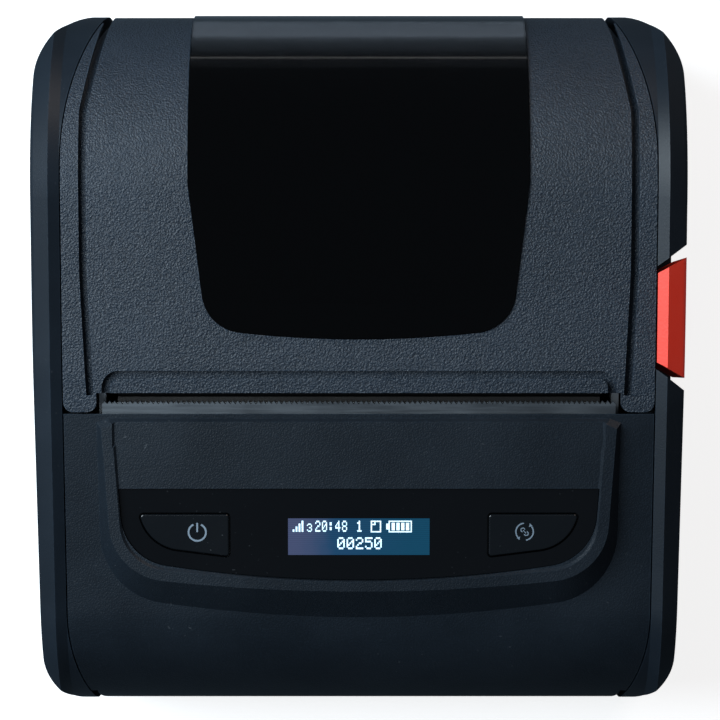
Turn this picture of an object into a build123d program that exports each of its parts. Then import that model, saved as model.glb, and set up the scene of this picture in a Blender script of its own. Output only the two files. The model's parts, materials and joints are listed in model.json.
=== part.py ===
from build123d import *
import math
import os

# Portable label printer, seen lying on its back plate: +X to its right, +Y to the hinge, +Z up.
# The origin is the middle of the footprint, on the surface that the feet stand on. Millimetres.

# Casing
half_width = 49.3  # between the two bumper rails
front_y = -59.2
back_y = 59.0
feet_height = 1.0  # underside of the casing above the table
wall = 2.2
seam_gap = 0.3
front_corner_z = 40.0
crest_y = -2.0
crest_z = 53.6
back_corner_z = 62.8
front_low_radius = 12.0
front_top_radius = 22.0
crest_radius = 40.0
back_top_radius = 28.0
back_low_radius = 11.0
parting_z = 20.0  # lower casing under it, front casing over it
plan_front_half = 53.9  # the footprint, seen from above
plan_front_y = -59.6
plan_front_radius = 8.5
plan_back_y = 59.6
plan_back_radius = 13.0
seam_front_x = 43.6  # the seam between casing and rails curls inwards at both ends
seam_front_start_y = -44.0
seam_back_x = 41.2
seam_back_start_y = 33.0
tip_corner_radius = 1.8
tip_corners = [(43.2, back_y, 1), (45.2, front_y, -1)]  # corner of the casing in plan, and the way it faces along Y
curl_reliefs = [(0.4, 0.5), (1.2, 1.1)]  # depth under the cover's skin, and how far its edge steps in there
curl_relief_low_z = 26.0  # below this height the whole edge steps in

# Bumper rails
bumper_gap = 0.2
bumper_inner_width = 1.8  # from the seam to the ridge of the rail
bumper_outer_width = 3.2  # from the ridge to the outer face
bumper_proud = 0.1
bumper_inner_rise = 26.0  # degrees that the inner flank climbs
bumper_outer_fall = 38.0  # degrees that the outer flank falls
bumper_pocket_depth = 2.6
bumper_pocket_inset = 9.0

# Cover and its hinge
hinge_y = 55.6
hinge_z = 14.2
knuckle_radius = back_y - hinge_y
knuckle_clearance = 0.4
hinge_pin_radius = 1.25
hinge_pin_half = 43.6
pin_clearance = 0.05
base_knuckles = [(-49.2, -38.2), (-13.8, 13.8), (38.2, 49.2)]
cover_knuckles = [(-37.8, -14.2), (14.2, 37.8)]
lip_y = -5.7  # front edge of the cover between its two strips
strip_front_y = -8.9
groove_width = 1.3
groove_depth = 1.3
groove_bend_y = 14.0
lip_channel_y = -2.7
lip_channel_half = 42.2
lip_channel_width = 1.4
lip_channel_radius = 2.2

# Window
window_half = 28.3
window_low_half = 25.4
window_side_y = 29.0
window_low_y = 5.0
window_sag_y = 3.2
window_corner_radius = 7.0
window_back_z = 33.0
window_proud = 0.35
window_gap = 0.12
window_flange = 1.0
window_flange_width = 1.6

# Control platform on the front casing
control_slope = 9.0
platform_y = -10.9  # its rear edge
platform_z = 52.8
platform_half = 43.0
platform_low_half = 41.3
platform_low_y = -36.3
platform_sag_y = -39.1
platform_corner_radius = 10.0
platform_corner_cut = (1.8, 0.8)  # its rear corners are cut off by this much along X and Y
platform_spread = 3.9  # how far its skirt runs outwards at the sides
platform_front_spread = 8.6  # and at the front
platform_skirt = 6.3  # and how far down
rim_width = 1.8
rim_depth = 0.5
panel_top_y = -21.8
panel_half = 40.3
panel_low_half = 39.4
panel_low_y = -33.7
panel_sag_y = -37.4
panel_corner_radius = 9.0
panel_thickness = 1.5
panel_recess = 0.9  # its face under the rim's top
panel_gap = 0.1
panel_ledge = 1.5

# Display and keys
display_half = 11.9
display_low_y = -33.1
display_top_y = -26.9
key_inner_x = 21.8
key_outer_x = 36.7
key_top_y = -26.2
key_low_y = -33.3
key_gap = 0.3
key_travel = 0.5
key_proud = 0.25
key_flange = 0.8
switch_height = 2.0
key_board_thickness = 1.0

# Tear bar
blade_y = -7.1
blade_z = 51.55
blade_half = 42.9
blade_thickness = 0.7
blade_length = 6.0
tooth_pitch = 0.858
tooth_depth = 0.5
blade_end_gap = 0.9  # to the cover's strips
strip_inner_x = blade_half + blade_end_gap
groove_front_x = strip_inner_x + 1.0
groove_back_x = strip_inner_x + 1.9
strip_corner_radius = min(1.6, 0.4 * (half_width - strip_inner_x))

# Platen and its gears
platen_y = -1.3
platen_z = 45.8
platen_radius = 5.0
platen_half = 40.6
shaft_radius = 2.0
running_clearance = 0.03
bushing_radius = 3.0
bushing_inner_x = 41.0
bushing_outer_x = 45.2
plate_inner_x = 42.4
plate_outer_x = 43.6
gear_module = 0.5
gear_width = 1.3
inner_gear_x = 43.95
outer_gear_x = 45.6
platen_teeth = 18
idler_teeth = 26
small_teeth = 14
large_teeth = 32
pinion_teeth = 12
gear_backlash = 0.08
stud_radius = 1.0
motor_radius = 8.0
motor_length = 15.0
motor_shaft_radius = 0.75

# Print head
head_face_y = -6.35
head_half = 40.4
head_low_z = 33.0
head_top_z = 49.0
ceramic_thickness = 1.0
heat_sink_thickness = 4.0
head_pivot_y = -9.4
head_pivot_z = 35.0
head_pivot_radius = 1.2
head_spring_length = 4.0
head_spring_radius = 2.0
cross_plate_thickness = 1.0

# Label bay and roll holders
roll_y = 31.0
roll_z = 30.3
bay_radius = 25.0
bay_wall = 1.3
bay_half = 42.0
bay_side_wall = 1.0
bay_back_y = 49.2
bay_top_z = 43.5
shelf_z = 38.0
holder_face_x = 40.2
holder_thickness = 1.5
holder_travel = 31.0
hub_radius = 6.0
hub_length = 6.0
holder_disc_radius = 11.0
leg_front_y = 8.3
leg_back_y = 14.2
rack_module = 0.8
rack_teeth = 12
rack_pinion_y = 12.0
rack_low_z = 3.5
rack_height = 1.8
rack_bar = 2.0
rack_overrun = 6.0

# Release button and latch
button_y = 6.8
button_outer_half = 10.6
button_inner_half = 7.4
button_low_z = 30.0
button_gap = 0.3
button_outer_slack = 2.0  # the notch opens wider than the button on the outside
button_travel = 2.5
button_tab_y = 11.2
latch_y = -0.8
latch_z = 31.5
latch_radius = 1.25
hook_inner_x = 43.9
hook_outer_x = 45.1
lever_inner_x = 45.6
lever_outer_x = 47.0

# Battery, boards and socket
battery_left_x = -24.0
battery_right_x = 45.5
battery_front_y = -41.0
battery_back_y = -6.5
battery_top_z = 21.0
battery_gap = 0.35
battery_bay_wall = 1.2
battery_notch_depth = 1.4
battery_notch_length = 14.0
board_z = 24.0
board_thickness = 1.6
socket_y = -42.0
socket_width = 8.94
socket_height = 3.2

os.makedirs("parts", exist_ok=True)


def save(name, piece):
    """Labels a finished piece and writes it under its own name."""
    piece.part.label = name
    export_step(piece.part, f"parts/{name}.step")


def body_outline(grow=0.0):
    """The casing's side profile as a sketch in the current plane, grown outwards by a distance."""
    with BuildSketch(mode=Mode.PRIVATE) as outline:
        with BuildLine():
            FilletPolyline(
                (0, feet_height),
                (back_y, feet_height),
                (back_y, back_corner_z),
                (crest_y, crest_z),
                (front_y, front_corner_z),
                (front_y, feet_height),
                radius=[0, back_low_radius, back_top_radius, crest_radius, front_top_radius, front_low_radius],
                close=True,
            )
        make_face()
        if grow:
            offset(amount=grow, mode=Mode.REPLACE)
    return outline.sketch


def footprint():
    """Upright block with the rounded plan outline of the whole printer, for trimming outer pieces."""
    bumper_outer = half_width + bumper_gap + bumper_inner_width + bumper_outer_width
    with BuildPart(mode=Mode.PRIVATE) as block:
        with BuildSketch(Plane.XY.offset(-10)):
            with BuildLine():
                FilletPolyline(
                    (-bumper_outer, 10.0),
                    (-plan_front_half, plan_front_y),
                    (plan_front_half, plan_front_y),
                    (bumper_outer, 10.0),
                    (bumper_outer, plan_back_y),
                    (-bumper_outer, plan_back_y),
                    radius=[200, plan_front_radius, plan_front_radius, 200, plan_back_radius, plan_back_radius],
                    close=True,
                )
            make_face()
        extrude(amount=90)
    return block.part


def seam_curve(side, gap):
    """The inner boundary of one rail, seen from above, as points and straight or bent runs."""
    edge = half_width + gap
    Line((side * edge, seam_front_start_y), (side * edge, seam_back_start_y))
    ThreePointArc(
        (side * edge, seam_back_start_y),
        (side * (edge - 0.23 * (half_width - seam_back_x)), (seam_back_start_y + 1.15 * back_y) / 2.15),
        (side * (seam_back_x + gap), back_y + 3),
    )
    ThreePointArc(
        (side * edge, seam_front_start_y),
        (side * (edge - 0.2 * (half_width - seam_front_x)), (seam_front_start_y + 1.15 * front_y) / 2.15),
        (side * (seam_front_x + gap), front_y - 3),
    )


def between_rails(inset=0.0):
    """Upright block that holds everything between the two rails, stepped in by a distance."""
    with BuildPart(mode=Mode.PRIVATE) as block:
        with BuildSketch(Plane.XY.offset(-10)):
            with BuildLine():
                seam_curve(-1, -inset)
                seam_curve(1, -inset)
                Line((inset - seam_back_x, back_y + 3), (seam_back_x - inset, back_y + 3))
                Line((inset - seam_front_x, front_y - 3), (seam_front_x - inset, front_y - 3))
            make_face()
        extrude(amount=90)
        # rounded corners of the casing beside the rails' tips
        with BuildSketch(Plane.XY.offset(-10)):
            for x_side in (-1, 1):
                for corner_x, corner_y, y_side in tip_corners:
                    with Locations((x_side * (corner_x - tip_corner_radius), corner_y - y_side * tip_corner_radius)):
                        Rectangle(
                            12, 12, align=(Align.MIN if x_side > 0 else Align.MAX, Align.MIN if y_side > 0 else Align.MAX)
                        )
                        Circle(tip_corner_radius, mode=Mode.SUBTRACT)
        extrude(amount=90, mode=Mode.SUBTRACT)
    return block.part


def beside_casing(side):
    """Upright block outside the seam on one side, a seam's width further out."""
    with BuildPart(mode=Mode.PRIVATE) as block:
        with BuildSketch(Plane.XY.offset(-10)):
            with BuildLine():
                seam_curve(side, bumper_gap)
                Polyline(
                    (side * (seam_back_x + bumper_gap), back_y + 3),
                    (side * 90, back_y + 3),
                    (side * 90, front_y - 3),
                    (side * (seam_front_x + bumper_gap), front_y - 3),
                )
            make_face()
        extrude(amount=90)
    return block.part


def u_outline(half, low_half, top_y, low_y, sag_y, corner_radius, corner_cut=None):
    """A U shaped outline: straight top edge, slanting sides, and a bottom that bows forwards."""
    with BuildSketch(mode=Mode.PRIVATE) as outline:
        with BuildLine():
            if corner_cut:
                cut_x, cut_y = corner_cut
                Line((cut_x - half, top_y), (half - cut_x, top_y))
                Line((half - cut_x, top_y), (half, top_y - cut_y))
                Line((half, top_y - cut_y), (low_half, low_y))
                Line((-low_half, low_y), (-half, top_y - cut_y))
                Line((-half, top_y - cut_y), (cut_x - half, top_y))
            else:
                Line((-half, top_y), (half, top_y))
                Line((half, top_y), (low_half, low_y))
                Line((-low_half, low_y), (-half, top_y))
            ThreePointArc((low_half, low_y), (0, sag_y), (-low_half, low_y))
        make_face()
        fillet(outline.vertices().sort_by(Axis.Y)[:2], corner_radius)
    return outline.sketch


def on_control(y):
    """Distance up the control plane of a point that stands at this Y when seen from above."""
    return (y - platform_y) / math.cos(math.radians(control_slope))


def control_plane(depth=0.0):
    """The sloping plane of the controls, lowered by a depth."""
    slope = math.radians(control_slope)
    plane = Plane((0, platform_y, platform_z), x_dir=(1, 0, 0), z_dir=(0, -math.sin(slope), math.cos(slope)))
    return plane.offset(-depth)


def gear_outline(module, teeth, phase, backlash):
    """Spur gear outline about the origin, a tooth centred on the phase angle in radians."""
    pitch = module * teeth / 2
    base = pitch * math.cos(math.radians(20))
    tip = pitch + 0.8 * module
    root = pitch - 1.15 * module
    start = max(base, root)
    half_angle = (math.pi * module / 2 - backlash / 2) / 2 / pitch
    roll_pitch = math.sqrt((pitch / base) ** 2 - 1)
    spread_pitch = roll_pitch - math.atan(roll_pitch)
    flank = []
    for step in range(5):
        radius = start + (tip - start) * step / 4
        roll = math.sqrt(max((radius / base) ** 2 - 1, 0))
        flank.append((radius, half_angle + spread_pitch - (roll - math.atan(roll))))
    points = []
    for tooth in range(teeth):
        middle = phase + 2 * math.pi * tooth / teeth
        side = [(root, flank[0][1])] + flank if start > root else flank
        for radius, angle in side:
            points.append((radius * math.cos(middle - angle), radius * math.sin(middle - angle)))
        for radius, angle in reversed(side):
            points.append((radius * math.cos(middle + angle), radius * math.sin(middle + angle)))
    return points


def meshing_phase(direction, teeth_a, phase_a, teeth_b):
    """Phase of gear b, which lies in a direction from gear a, so that its gaps take a's teeth."""
    return direction + math.pi - (phase_a - direction) * teeth_a / teeth_b + math.pi / teeth_b


def toward(start, direction, distance):
    """The point at a distance from a start, in a direction given in radians."""
    return (start[0] + distance * math.cos(direction), start[1] + distance * math.sin(direction))


# Gear places in the side plane. The platen leaves its seat along release, square to the hinge arm.
platen = (platen_y, platen_z)
release = math.atan2(hinge_y - platen_y, platen_z - hinge_z)
idler_direction = release + math.pi
idler = toward(platen, idler_direction, gear_module * (platen_teeth + idler_teeth) / 2)
reducer_direction = math.radians(-134.5)
reducer = toward(idler, reducer_direction, gear_module * (idler_teeth + small_teeth) / 2)
motor_direction = math.radians(168.5)
motor = toward(reducer, motor_direction, gear_module * (large_teeth + pinion_teeth) / 2)
platen_phase = 0.0
idler_phase = meshing_phase(idler_direction, platen_teeth, platen_phase, idler_teeth)
small_phase = meshing_phase(reducer_direction, idler_teeth, idler_phase, small_teeth)
large_phase = 0.0
pinion_phase = meshing_phase(motor_direction, large_teeth, large_phase, pinion_teeth)


# Side plane at the printer's left end, from which long pieces are drawn towards +X.
def side_plane(x):
    return Plane.YZ.offset(x)


# Lower casing
bay_left = battery_left_x - battery_gap
bay_right = battery_right_x + battery_gap
bay_front = battery_front_y - battery_gap
bay_back = battery_back_y + battery_gap
bay_width = bay_right - bay_left
bay_depth = bay_back - bay_front
bay_mid = ((bay_left + bay_right) / 2, (bay_front + bay_back) / 2)
bay_roof_z = battery_top_z + battery_gap + battery_bay_wall
floor_z = feet_height + wall
knuckle_cut = knuckle_radius + knuckle_clearance
screw_places = [(-43.5, -51.0), (43.5, -51.0), (-45.6, 44.5), (45.6, 44.5)]
boss_radius = 2.1
boss_split_z = 14.0  # where the lower bosses meet those of the front casing
screw_radius = 1.0
screw_head_radius = 1.7
standoff_places = [(-20.0, -12.0), (38.0, -12.0), (-20.0, -36.0), (38.0, -36.0)]

with BuildPart() as lower_casing:
    with BuildSketch(side_plane(-half_width)):
        add(body_outline())
    extrude(amount=2 * half_width)
    with BuildSketch(side_plane(-half_width + wall)):
        add(body_outline(-wall))
    extrude(amount=2 * (half_width - wall), mode=Mode.SUBTRACT)
    split(bisect_by=Plane.XY.offset(parting_z), keep=Keep.BOTTOM)
    # battery bay: four walls and a roof, open underneath
    with BuildSketch(Plane.XY.offset(feet_height)):
        with Locations(bay_mid):
            Rectangle(bay_width + 2 * battery_bay_wall, bay_depth + 2 * battery_bay_wall)
    extrude(amount=bay_roof_z - feet_height)
    with BuildSketch(Plane.XY.offset(feet_height)):
        with Locations(bay_mid):
            Rectangle(bay_width, bay_depth)
    extrude(amount=bay_roof_z - battery_bay_wall - feet_height, mode=Mode.SUBTRACT)
    # ledge that carries the left mechanism plate
    with BuildSketch(Plane.XY.offset(floor_z - 0.5)):
        with Locations((-plate_outer_x - 0.1, -16.0)):
            Rectangle(3.0, 18.6, align=(Align.MIN, Align.MIN))
    extrude(amount=bay_roof_z - floor_z + 0.5)
    # post for the pinion that joins the two roll holders
    with Locations((0, rack_pinion_y, floor_z)):
        Cylinder(1.5, 2.6, align=(Align.CENTER, Align.CENTER, Align.MIN))
    # cradle ribs under the label bay
    for rib_x in (-30.0, 30.0):
        with Locations((rib_x, 35.0, floor_z - 0.3)):
            Box(2.0, 22.0, 6.0, align=(Align.CENTER, Align.CENTER, Align.MIN))
    with BuildSketch(side_plane(-half_width + wall)):
        with Locations((roll_y, roll_z)):
            Circle(bay_radius + bay_wall)
    extrude(amount=2 * (half_width - wall), mode=Mode.SUBTRACT)
    # screw bosses
    with BuildSketch(Plane.XY.offset(floor_z - 0.5)):
        with Locations(*screw_places):
            Circle(boss_radius)
    extrude(amount=boss_split_z - floor_z + 0.5)
    # standoffs of the main board, on the roof of the bay
    with BuildSketch(Plane.XY.offset(bay_roof_z - 0.2)):
        with Locations(*standoff_places):
            Circle(2.0)
    extrude(amount=board_z - bay_roof_z + 0.2)
    # fingernail recess beside the battery
    with Locations((bay_left - 3.0, bay_mid[1], feet_height)):
        Box(
            7.0, battery_notch_length, 1.1, align=(Align.CENTER, Align.CENTER, Align.MIN), mode=Mode.SUBTRACT
        )
    # room for the hinge and the swing of the cover's back wall
    with BuildSketch(side_plane(-half_width)):
        with Locations((hinge_y, hinge_z)):
            Circle(knuckle_cut)
        with Locations((hinge_y - 0.4, hinge_z - knuckle_radius - 0.8)):
            Rectangle(12, 30, align=(Align.MIN, Align.MIN))
    extrude(amount=2 * half_width, mode=Mode.SUBTRACT)
    for low_x, high_x in base_knuckles:
        with BuildSketch(side_plane(low_x)):
            with Locations((hinge_y, hinge_z)):
                Circle(knuckle_radius)
            with BuildLine():
                Polyline(
                    (hinge_y - knuckle_radius, hinge_z),
                    (hinge_y - knuckle_radius, floor_z - 0.3),
                    (hinge_y + 2.0, floor_z - 0.3),
                    (hinge_y + 2.0, hinge_z - knuckle_cut - 0.6),
                    (hinge_y + 0.6, hinge_z - knuckle_cut - 0.6),
                    (hinge_y + 0.6, hinge_z),
                    close=True,
                )
            make_face()
            add(body_outline(-0.05), mode=Mode.INTERSECT)
        extrude(amount=high_x - low_x)
    with Locations((0, hinge_y, hinge_z)):
        Cylinder(hinge_pin_radius + pin_clearance, 2 * half_width, rotation=(0, 90, 0), mode=Mode.SUBTRACT)
    # screw holes, sunk from underneath
    with BuildSketch():
        with Locations(*screw_places):
            Circle(screw_head_radius)
    extrude(amount=5.0, mode=Mode.SUBTRACT)
    with BuildSketch():
        with Locations(*screw_places):
            Circle(screw_radius)
    extrude(amount=parting_z, mode=Mode.SUBTRACT)
    add(between_rails(), mode=Mode.INTERSECT)
save("lower_casing", lower_casing)

# Front casing, with the side walls that run back under the cover
blade_drop = (crest_z - front_corner_z) / (crest_y - front_y)
casing_slope = math.degrees(math.atan(blade_drop))
rear_edge_y = -9.2
socket_z = board_z + board_thickness + socket_height / 2
panel_face = u_outline(
    panel_half,
    panel_low_half,
    on_control(panel_top_y),
    on_control(panel_low_y),
    on_control(panel_sag_y),
    panel_corner_radius,
)
platform_face = u_outline(
    platform_half,
    platform_low_half,
    0,
    on_control(platform_low_y),
    on_control(platform_sag_y),
    platform_corner_radius,
    platform_corner_cut,
)
platform_foot = u_outline(
    platform_half + platform_spread,
    platform_low_half + platform_spread,
    platform_spread,
    on_control(platform_low_y) - 0.8 * platform_front_spread,
    on_control(platform_sag_y) - platform_front_spread,
    platform_corner_radius + platform_spread,
    platform_corner_cut,
)


def blade_plane():
    """The plane of the tear bar's upper face, its origin on the toothed edge."""
    slope = math.radians(casing_slope)
    return Plane((0, blade_y, blade_z), x_dir=(1, 0, 0), z_dir=(0, -math.sin(slope), math.cos(slope)))


with BuildPart() as platform:
    with BuildSketch(control_plane()):
        add(platform_face)
    with BuildSketch(control_plane(platform_skirt)):
        add(platform_foot)
    loft(ruled=True)
    with Locations((0, 0, 40)):
        Box(2 * half_width, 200, 80, mode=Mode.INTERSECT)

# bosses that take the screws, hung from the skin and the side walls
with BuildPart() as screw_bosses:
    with BuildSketch(Plane.XY.offset(boss_split_z)):
        with Locations(*screw_places):
            Circle(boss_radius)
        Rectangle(2 * (half_width - wall - 0.05), 200, mode=Mode.INTERSECT)
    extrude(amount=parting_z - boss_split_z + 0.1)
    with BuildSketch(Plane.XY.offset(parting_z + 0.1)):
        with Locations(*screw_places[:2]):
            Circle(boss_radius)
    extrude(amount=30)
    with BuildSketch(Plane.XY.offset(parting_z + 0.1)):
        with Locations(*screw_places[2:]):
            Circle(boss_radius)
    extrude(amount=6)
    with BuildSketch(side_plane(-half_width)):
        add(body_outline(-wall / 2))
    extrude(amount=2 * half_width, mode=Mode.INTERSECT)
    with BuildSketch(Plane.XY.offset(boss_split_z)):
        with Locations(*screw_places):
            Circle(screw_radius)
    extrude(amount=7.0, mode=Mode.SUBTRACT)

with BuildPart() as front_casing:
    with BuildSketch(side_plane(-half_width)):
        add(body_outline())
    extrude(amount=2 * half_width)
    # raised control platform with a sloping skirt
    add(platform.part)
    with BuildSketch(side_plane(-half_width + wall)):
        add(body_outline(-wall))
    extrude(amount=2 * (half_width - wall), mode=Mode.SUBTRACT)
    # everything behind the tear slot is the cover's, apart from two side walls
    with BuildSketch(side_plane(-half_width)):
        with Locations((rear_edge_y, parting_z)):
            Rectangle(100, 60, align=(Align.MIN, Align.MIN))
    extrude(amount=2 * half_width, mode=Mode.SUBTRACT)
    split(bisect_by=Plane.XY.offset(parting_z), keep=Keep.TOP)
    for wall_x in (-half_width, half_width - wall):
        with BuildSketch(side_plane(wall_x)):
            add(body_outline(-wall - seam_gap))
            with Locations((rear_edge_y - 2.0, parting_z)):
                Rectangle(
                    hinge_y - 0.4 - rear_edge_y + 2.0,
                    50,
                    align=(Align.MIN, Align.MIN),
                    mode=Mode.INTERSECT,
                )
        extrude(amount=wall)
    add(screw_bosses.part)
    # recess inside the rim, open to the rear
    with BuildSketch(control_plane()):
        add(platform_face)
        offset(amount=-rim_width)
        with Locations((0, 0)):
            Rectangle(2 * (platform_half - rim_width - 0.02), 8.0)
    extrude(amount=-rim_depth, taper=40, mode=Mode.SUBTRACT)
    # seat of the glossy panel, and the opening under it
    with BuildSketch(control_plane()):
        add(panel_face)
    extrude(amount=-panel_recess - panel_thickness, mode=Mode.SUBTRACT)
    with BuildSketch(control_plane()):
        add(panel_face)
        offset(amount=-panel_ledge)
    extrude(amount=-14, mode=Mode.SUBTRACT)
    # slit that the tear bar slides into
    with BuildSketch(blade_plane().offset(0.05)):
        with Locations((0, 0.5)):
            Rectangle(
                2 * blade_half + 0.2, blade_length + 0.6, align=(Align.CENTER, Align.MAX)
            )
    extrude(amount=-blade_thickness - 0.1, mode=Mode.SUBTRACT)
    # charging socket opening on the left, release tab slot on the right
    with BuildSketch(side_plane(-half_width)):
        with Locations((socket_y, socket_z)):
            RectangleRounded(socket_width + 0.5, socket_height + 0.5, 1.7)
    extrude(amount=wall, mode=Mode.SUBTRACT)
    with BuildSketch(side_plane(half_width - wall)):
        with Locations((button_tab_y, latch_z + 2.6)):
            Rectangle(8.0, 8.0)
    extrude(amount=wall, mode=Mode.SUBTRACT)
    add(between_rails(), mode=Mode.INTERSECT)
save("front_casing", front_casing)


# Bumper rails
def bumper(side, notched):
    """One rail on its side of the casing: -1 is left, 1 is right."""
    ridge_grow = bumper_proud + bumper_inner_width * math.tan(math.radians(bumper_inner_rise))
    seam_x = side * (half_width + bumper_gap)
    ridge_x = side * (half_width + bumper_gap + bumper_inner_width)
    with BuildPart() as rail:
        with BuildSketch(side_plane(seam_x)):
            add(body_outline(bumper_proud))
        extrude(amount=side * bumper_inner_width, taper=-bumper_inner_rise)
        with BuildSketch(side_plane(ridge_x)):
            add(body_outline(ridge_grow))
        extrude(amount=side * bumper_outer_width, taper=bumper_outer_fall)
        outer_face = rail.faces().sort_by(Axis.X)[-1 if side > 0 else 0]
        fillet(outer_face.edges(), 1.6)
        # hollow behind, apart from a solid block around the notch
        with BuildSketch(side_plane(seam_x)):
            add(body_outline(-bumper_pocket_inset))
            if notched:
                with Locations((button_y, 30)):
                    Rectangle(2 * button_outer_half + 9, 80, mode=Mode.SUBTRACT)
        extrude(amount=side * bumper_pocket_depth, mode=Mode.SUBTRACT)
        # the part that curls in around the casing's ends
        with BuildSketch(side_plane(side * (min(seam_back_x, seam_front_x) - 1))):
            add(body_outline(bumper_proud))
        extrude(amount=side * (half_width + bumper_gap + 0.05 - min(seam_back_x, seam_front_x) + 1))
        add(beside_casing(side), mode=Mode.INTERSECT)
        add(footprint(), mode=Mode.INTERSECT)
        # flat underneath, above the feet
        split(bisect_by=Plane.XY.offset(feet_height - 0.4), keep=Keep.TOP)
    return rail


left_bumper = bumper(-1, False)
with BuildPart() as left_bumper_cut:
    add(left_bumper.part)
    with BuildSketch(side_plane(-half_width - 10)):
        with Locations((socket_y, socket_z)):
            RectangleRounded(socket_width + 2.4, socket_height + 2.4, 2.4)
    extrude(amount=10, mode=Mode.SUBTRACT)
save("left_bumper", left_bumper_cut)

button_low_clear = button_low_z - button_travel - 0.5
bumper_outer_x = half_width + bumper_gap + bumper_inner_width + bumper_outer_width


def trapezoid(inner_half, outer_half, inner_x, outer_x, low_z, high_z, low_slack=0.0, high_slack=0.0):
    """A block in the right rail, narrower at the casing than at the outside."""
    with BuildPart(mode=Mode.PRIVATE) as block:
        with BuildSketch(Plane.XY.offset(low_z)):
            with BuildLine():
                Polyline(
                    (inner_x, button_y - inner_half),
                    (outer_x, button_y - outer_half - low_slack),
                    (outer_x, button_y + outer_half + high_slack),
                    (inner_x, button_y + inner_half),
                    close=True,
                )
            make_face()
        extrude(amount=high_z - low_z)
    return block.part


spring_pocket_radius = 2.0
button_spring_radius = 1.75
button_spring_wire = 0.4
button_spring_turns = 4
button_spring_x = half_width + 2.6
button_spring_low = 22.0
with BuildPart() as right_bumper:
    add(bumper(1, True).part)
    add(
        trapezoid(
            button_inner_half + button_gap,
            button_outer_half + button_gap,
            half_width - 1,
            bumper_outer_x + 1,
            button_low_clear,
            90,
            button_outer_slack,
            button_outer_slack,
        ),
        mode=Mode.SUBTRACT,
    )
    with Locations((button_spring_x, button_y, button_spring_low)):
        Cylinder(
            spring_pocket_radius,
            button_low_clear - button_spring_low + 0.1,
            align=(Align.CENTER, Align.CENTER, Align.MIN),
            mode=Mode.SUBTRACT,
        )
save("right_bumper", right_bumper)

# Release button: a slice of the same rail, with a tab that reaches in to the latch lever
with BuildPart() as release_button:
    add(bumper(1, True).part)
    add(
        trapezoid(
            button_inner_half,
            button_outer_half,
            half_width + bumper_gap + 0.1,
            bumper_outer_x + 1,
            button_low_z,
            90,
        ),
        mode=Mode.INTERSECT,
    )
    with Locations((half_width - 0.7, button_tab_y, latch_z + 3.5)):
        Box(5.6, 5.0, 2.0, align=(Align.CENTER, Align.CENTER, Align.MIN))
    with Locations((half_width - 2.5, button_tab_y, latch_z + 2.6)):
        Box(2.0, 0.8, 1.0, align=(Align.CENTER, Align.CENTER, Align.MIN))
save("release_button", release_button)


def coil_spring(radius, wire, turns, length):
    """Compression spring up its own Z, wound as one unbroken tube."""
    with BuildPart() as spring:
        with BuildLine() as path:
            Helix(pitch=(length - wire) / turns, height=length - wire, radius=radius - wire / 2)
        with BuildSketch(Plane(path.line @ 0, z_dir=path.line % 0)):
            Circle(wire / 2)
        sweep()
    return spring.part.translate((0, 0, wire / 2))


with BuildPart() as button_spring:
    with Locations((button_spring_x, button_y, button_spring_low)):
        add(coil_spring(
            button_spring_radius,
            button_spring_wire,
            button_spring_turns,
            button_low_z - button_spring_low - 0.05,
        ))
save("button_spring", button_spring)

# Control panel, display, keys
panel_top = panel_recess
with BuildPart() as control_panel:
    with BuildSketch(control_plane(panel_top)):
        add(panel_face)
        offset(amount=-panel_gap)
        with Locations((0, on_control((display_low_y + display_top_y) / 2))):
            Rectangle(2 * display_half, on_control(display_top_y) - on_control(display_low_y), mode=Mode.SUBTRACT)
    extrude(amount=-panel_thickness)


def key_outline(side, grow):
    """A key's outline on the control plane, with its cut corner on the outer side."""
    with BuildSketch(mode=Mode.PRIVATE) as outline:
        with BuildLine():
            Polyline(
                (side * key_outer_x, on_control(key_top_y)),
                (side * key_inner_x, on_control(key_top_y)),
                (side * key_inner_x, on_control(key_low_y)),
                (side * (key_outer_x - 6.2), on_control(key_low_y + 1.1)),
            )
            ThreePointArc(
                (side * (key_outer_x - 6.2), on_control(key_low_y + 1.1)),
                (side * (key_outer_x - 1.9), on_control(key_low_y + 3.3)),
                (side * key_outer_x, on_control(key_top_y)),
            )
        make_face()
        fillet(outline.vertices(), 0.5)
        if grow:
            offset(amount=grow, mode=Mode.REPLACE)
    return outline.sketch


with BuildPart() as control_panel_cut:
    add(control_panel.part)
    for side in (-1, 1):
        with BuildSketch(control_plane(panel_top)):
            add(key_outline(side, key_gap))
        extrude(amount=-panel_thickness, mode=Mode.SUBTRACT)
save("control_panel", control_panel_cut)

with BuildPart() as display_lens:
    with BuildSketch(control_plane(panel_top)):
        with Locations((0, on_control((display_low_y + display_top_y) / 2))):
            Rectangle(
                2 * display_half - 0.06, on_control(display_top_y) - on_control(display_low_y) - 0.06
            )
    extrude(amount=-panel_thickness + 0.3)
save("display_lens", display_lens)

key_depth = panel_top + panel_thickness + 0.1 + key_flange
switch_top = key_depth + key_travel + 0.1
key_board_top = switch_top + switch_height
for side, key_name in ((-1, "power_key"), (1, "feed_key")):
    with BuildPart() as key:
        with BuildSketch(control_plane(panel_top - key_proud)):
            add(key_outline(side, 0))
        extrude(amount=-(key_depth - panel_top + key_proud))
        fillet(key.faces().sort_by(Axis.Z)[-1].edges(), 0.25)
        with BuildSketch(control_plane(key_depth)):
            add(key_outline(side, key_gap + 0.6))
        extrude(amount=key_flange)
    save(key_name, key)

display_module_top = panel_top + panel_thickness + 0.1
display_module_thickness = 2.0
with BuildPart() as display_module:
    with BuildSketch(control_plane(display_module_top)):
        with Locations((0, on_control(-30.1))):
            Rectangle(31.0, 9.6)
    extrude(amount=-display_module_thickness)
save("display_module", display_module)

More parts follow.
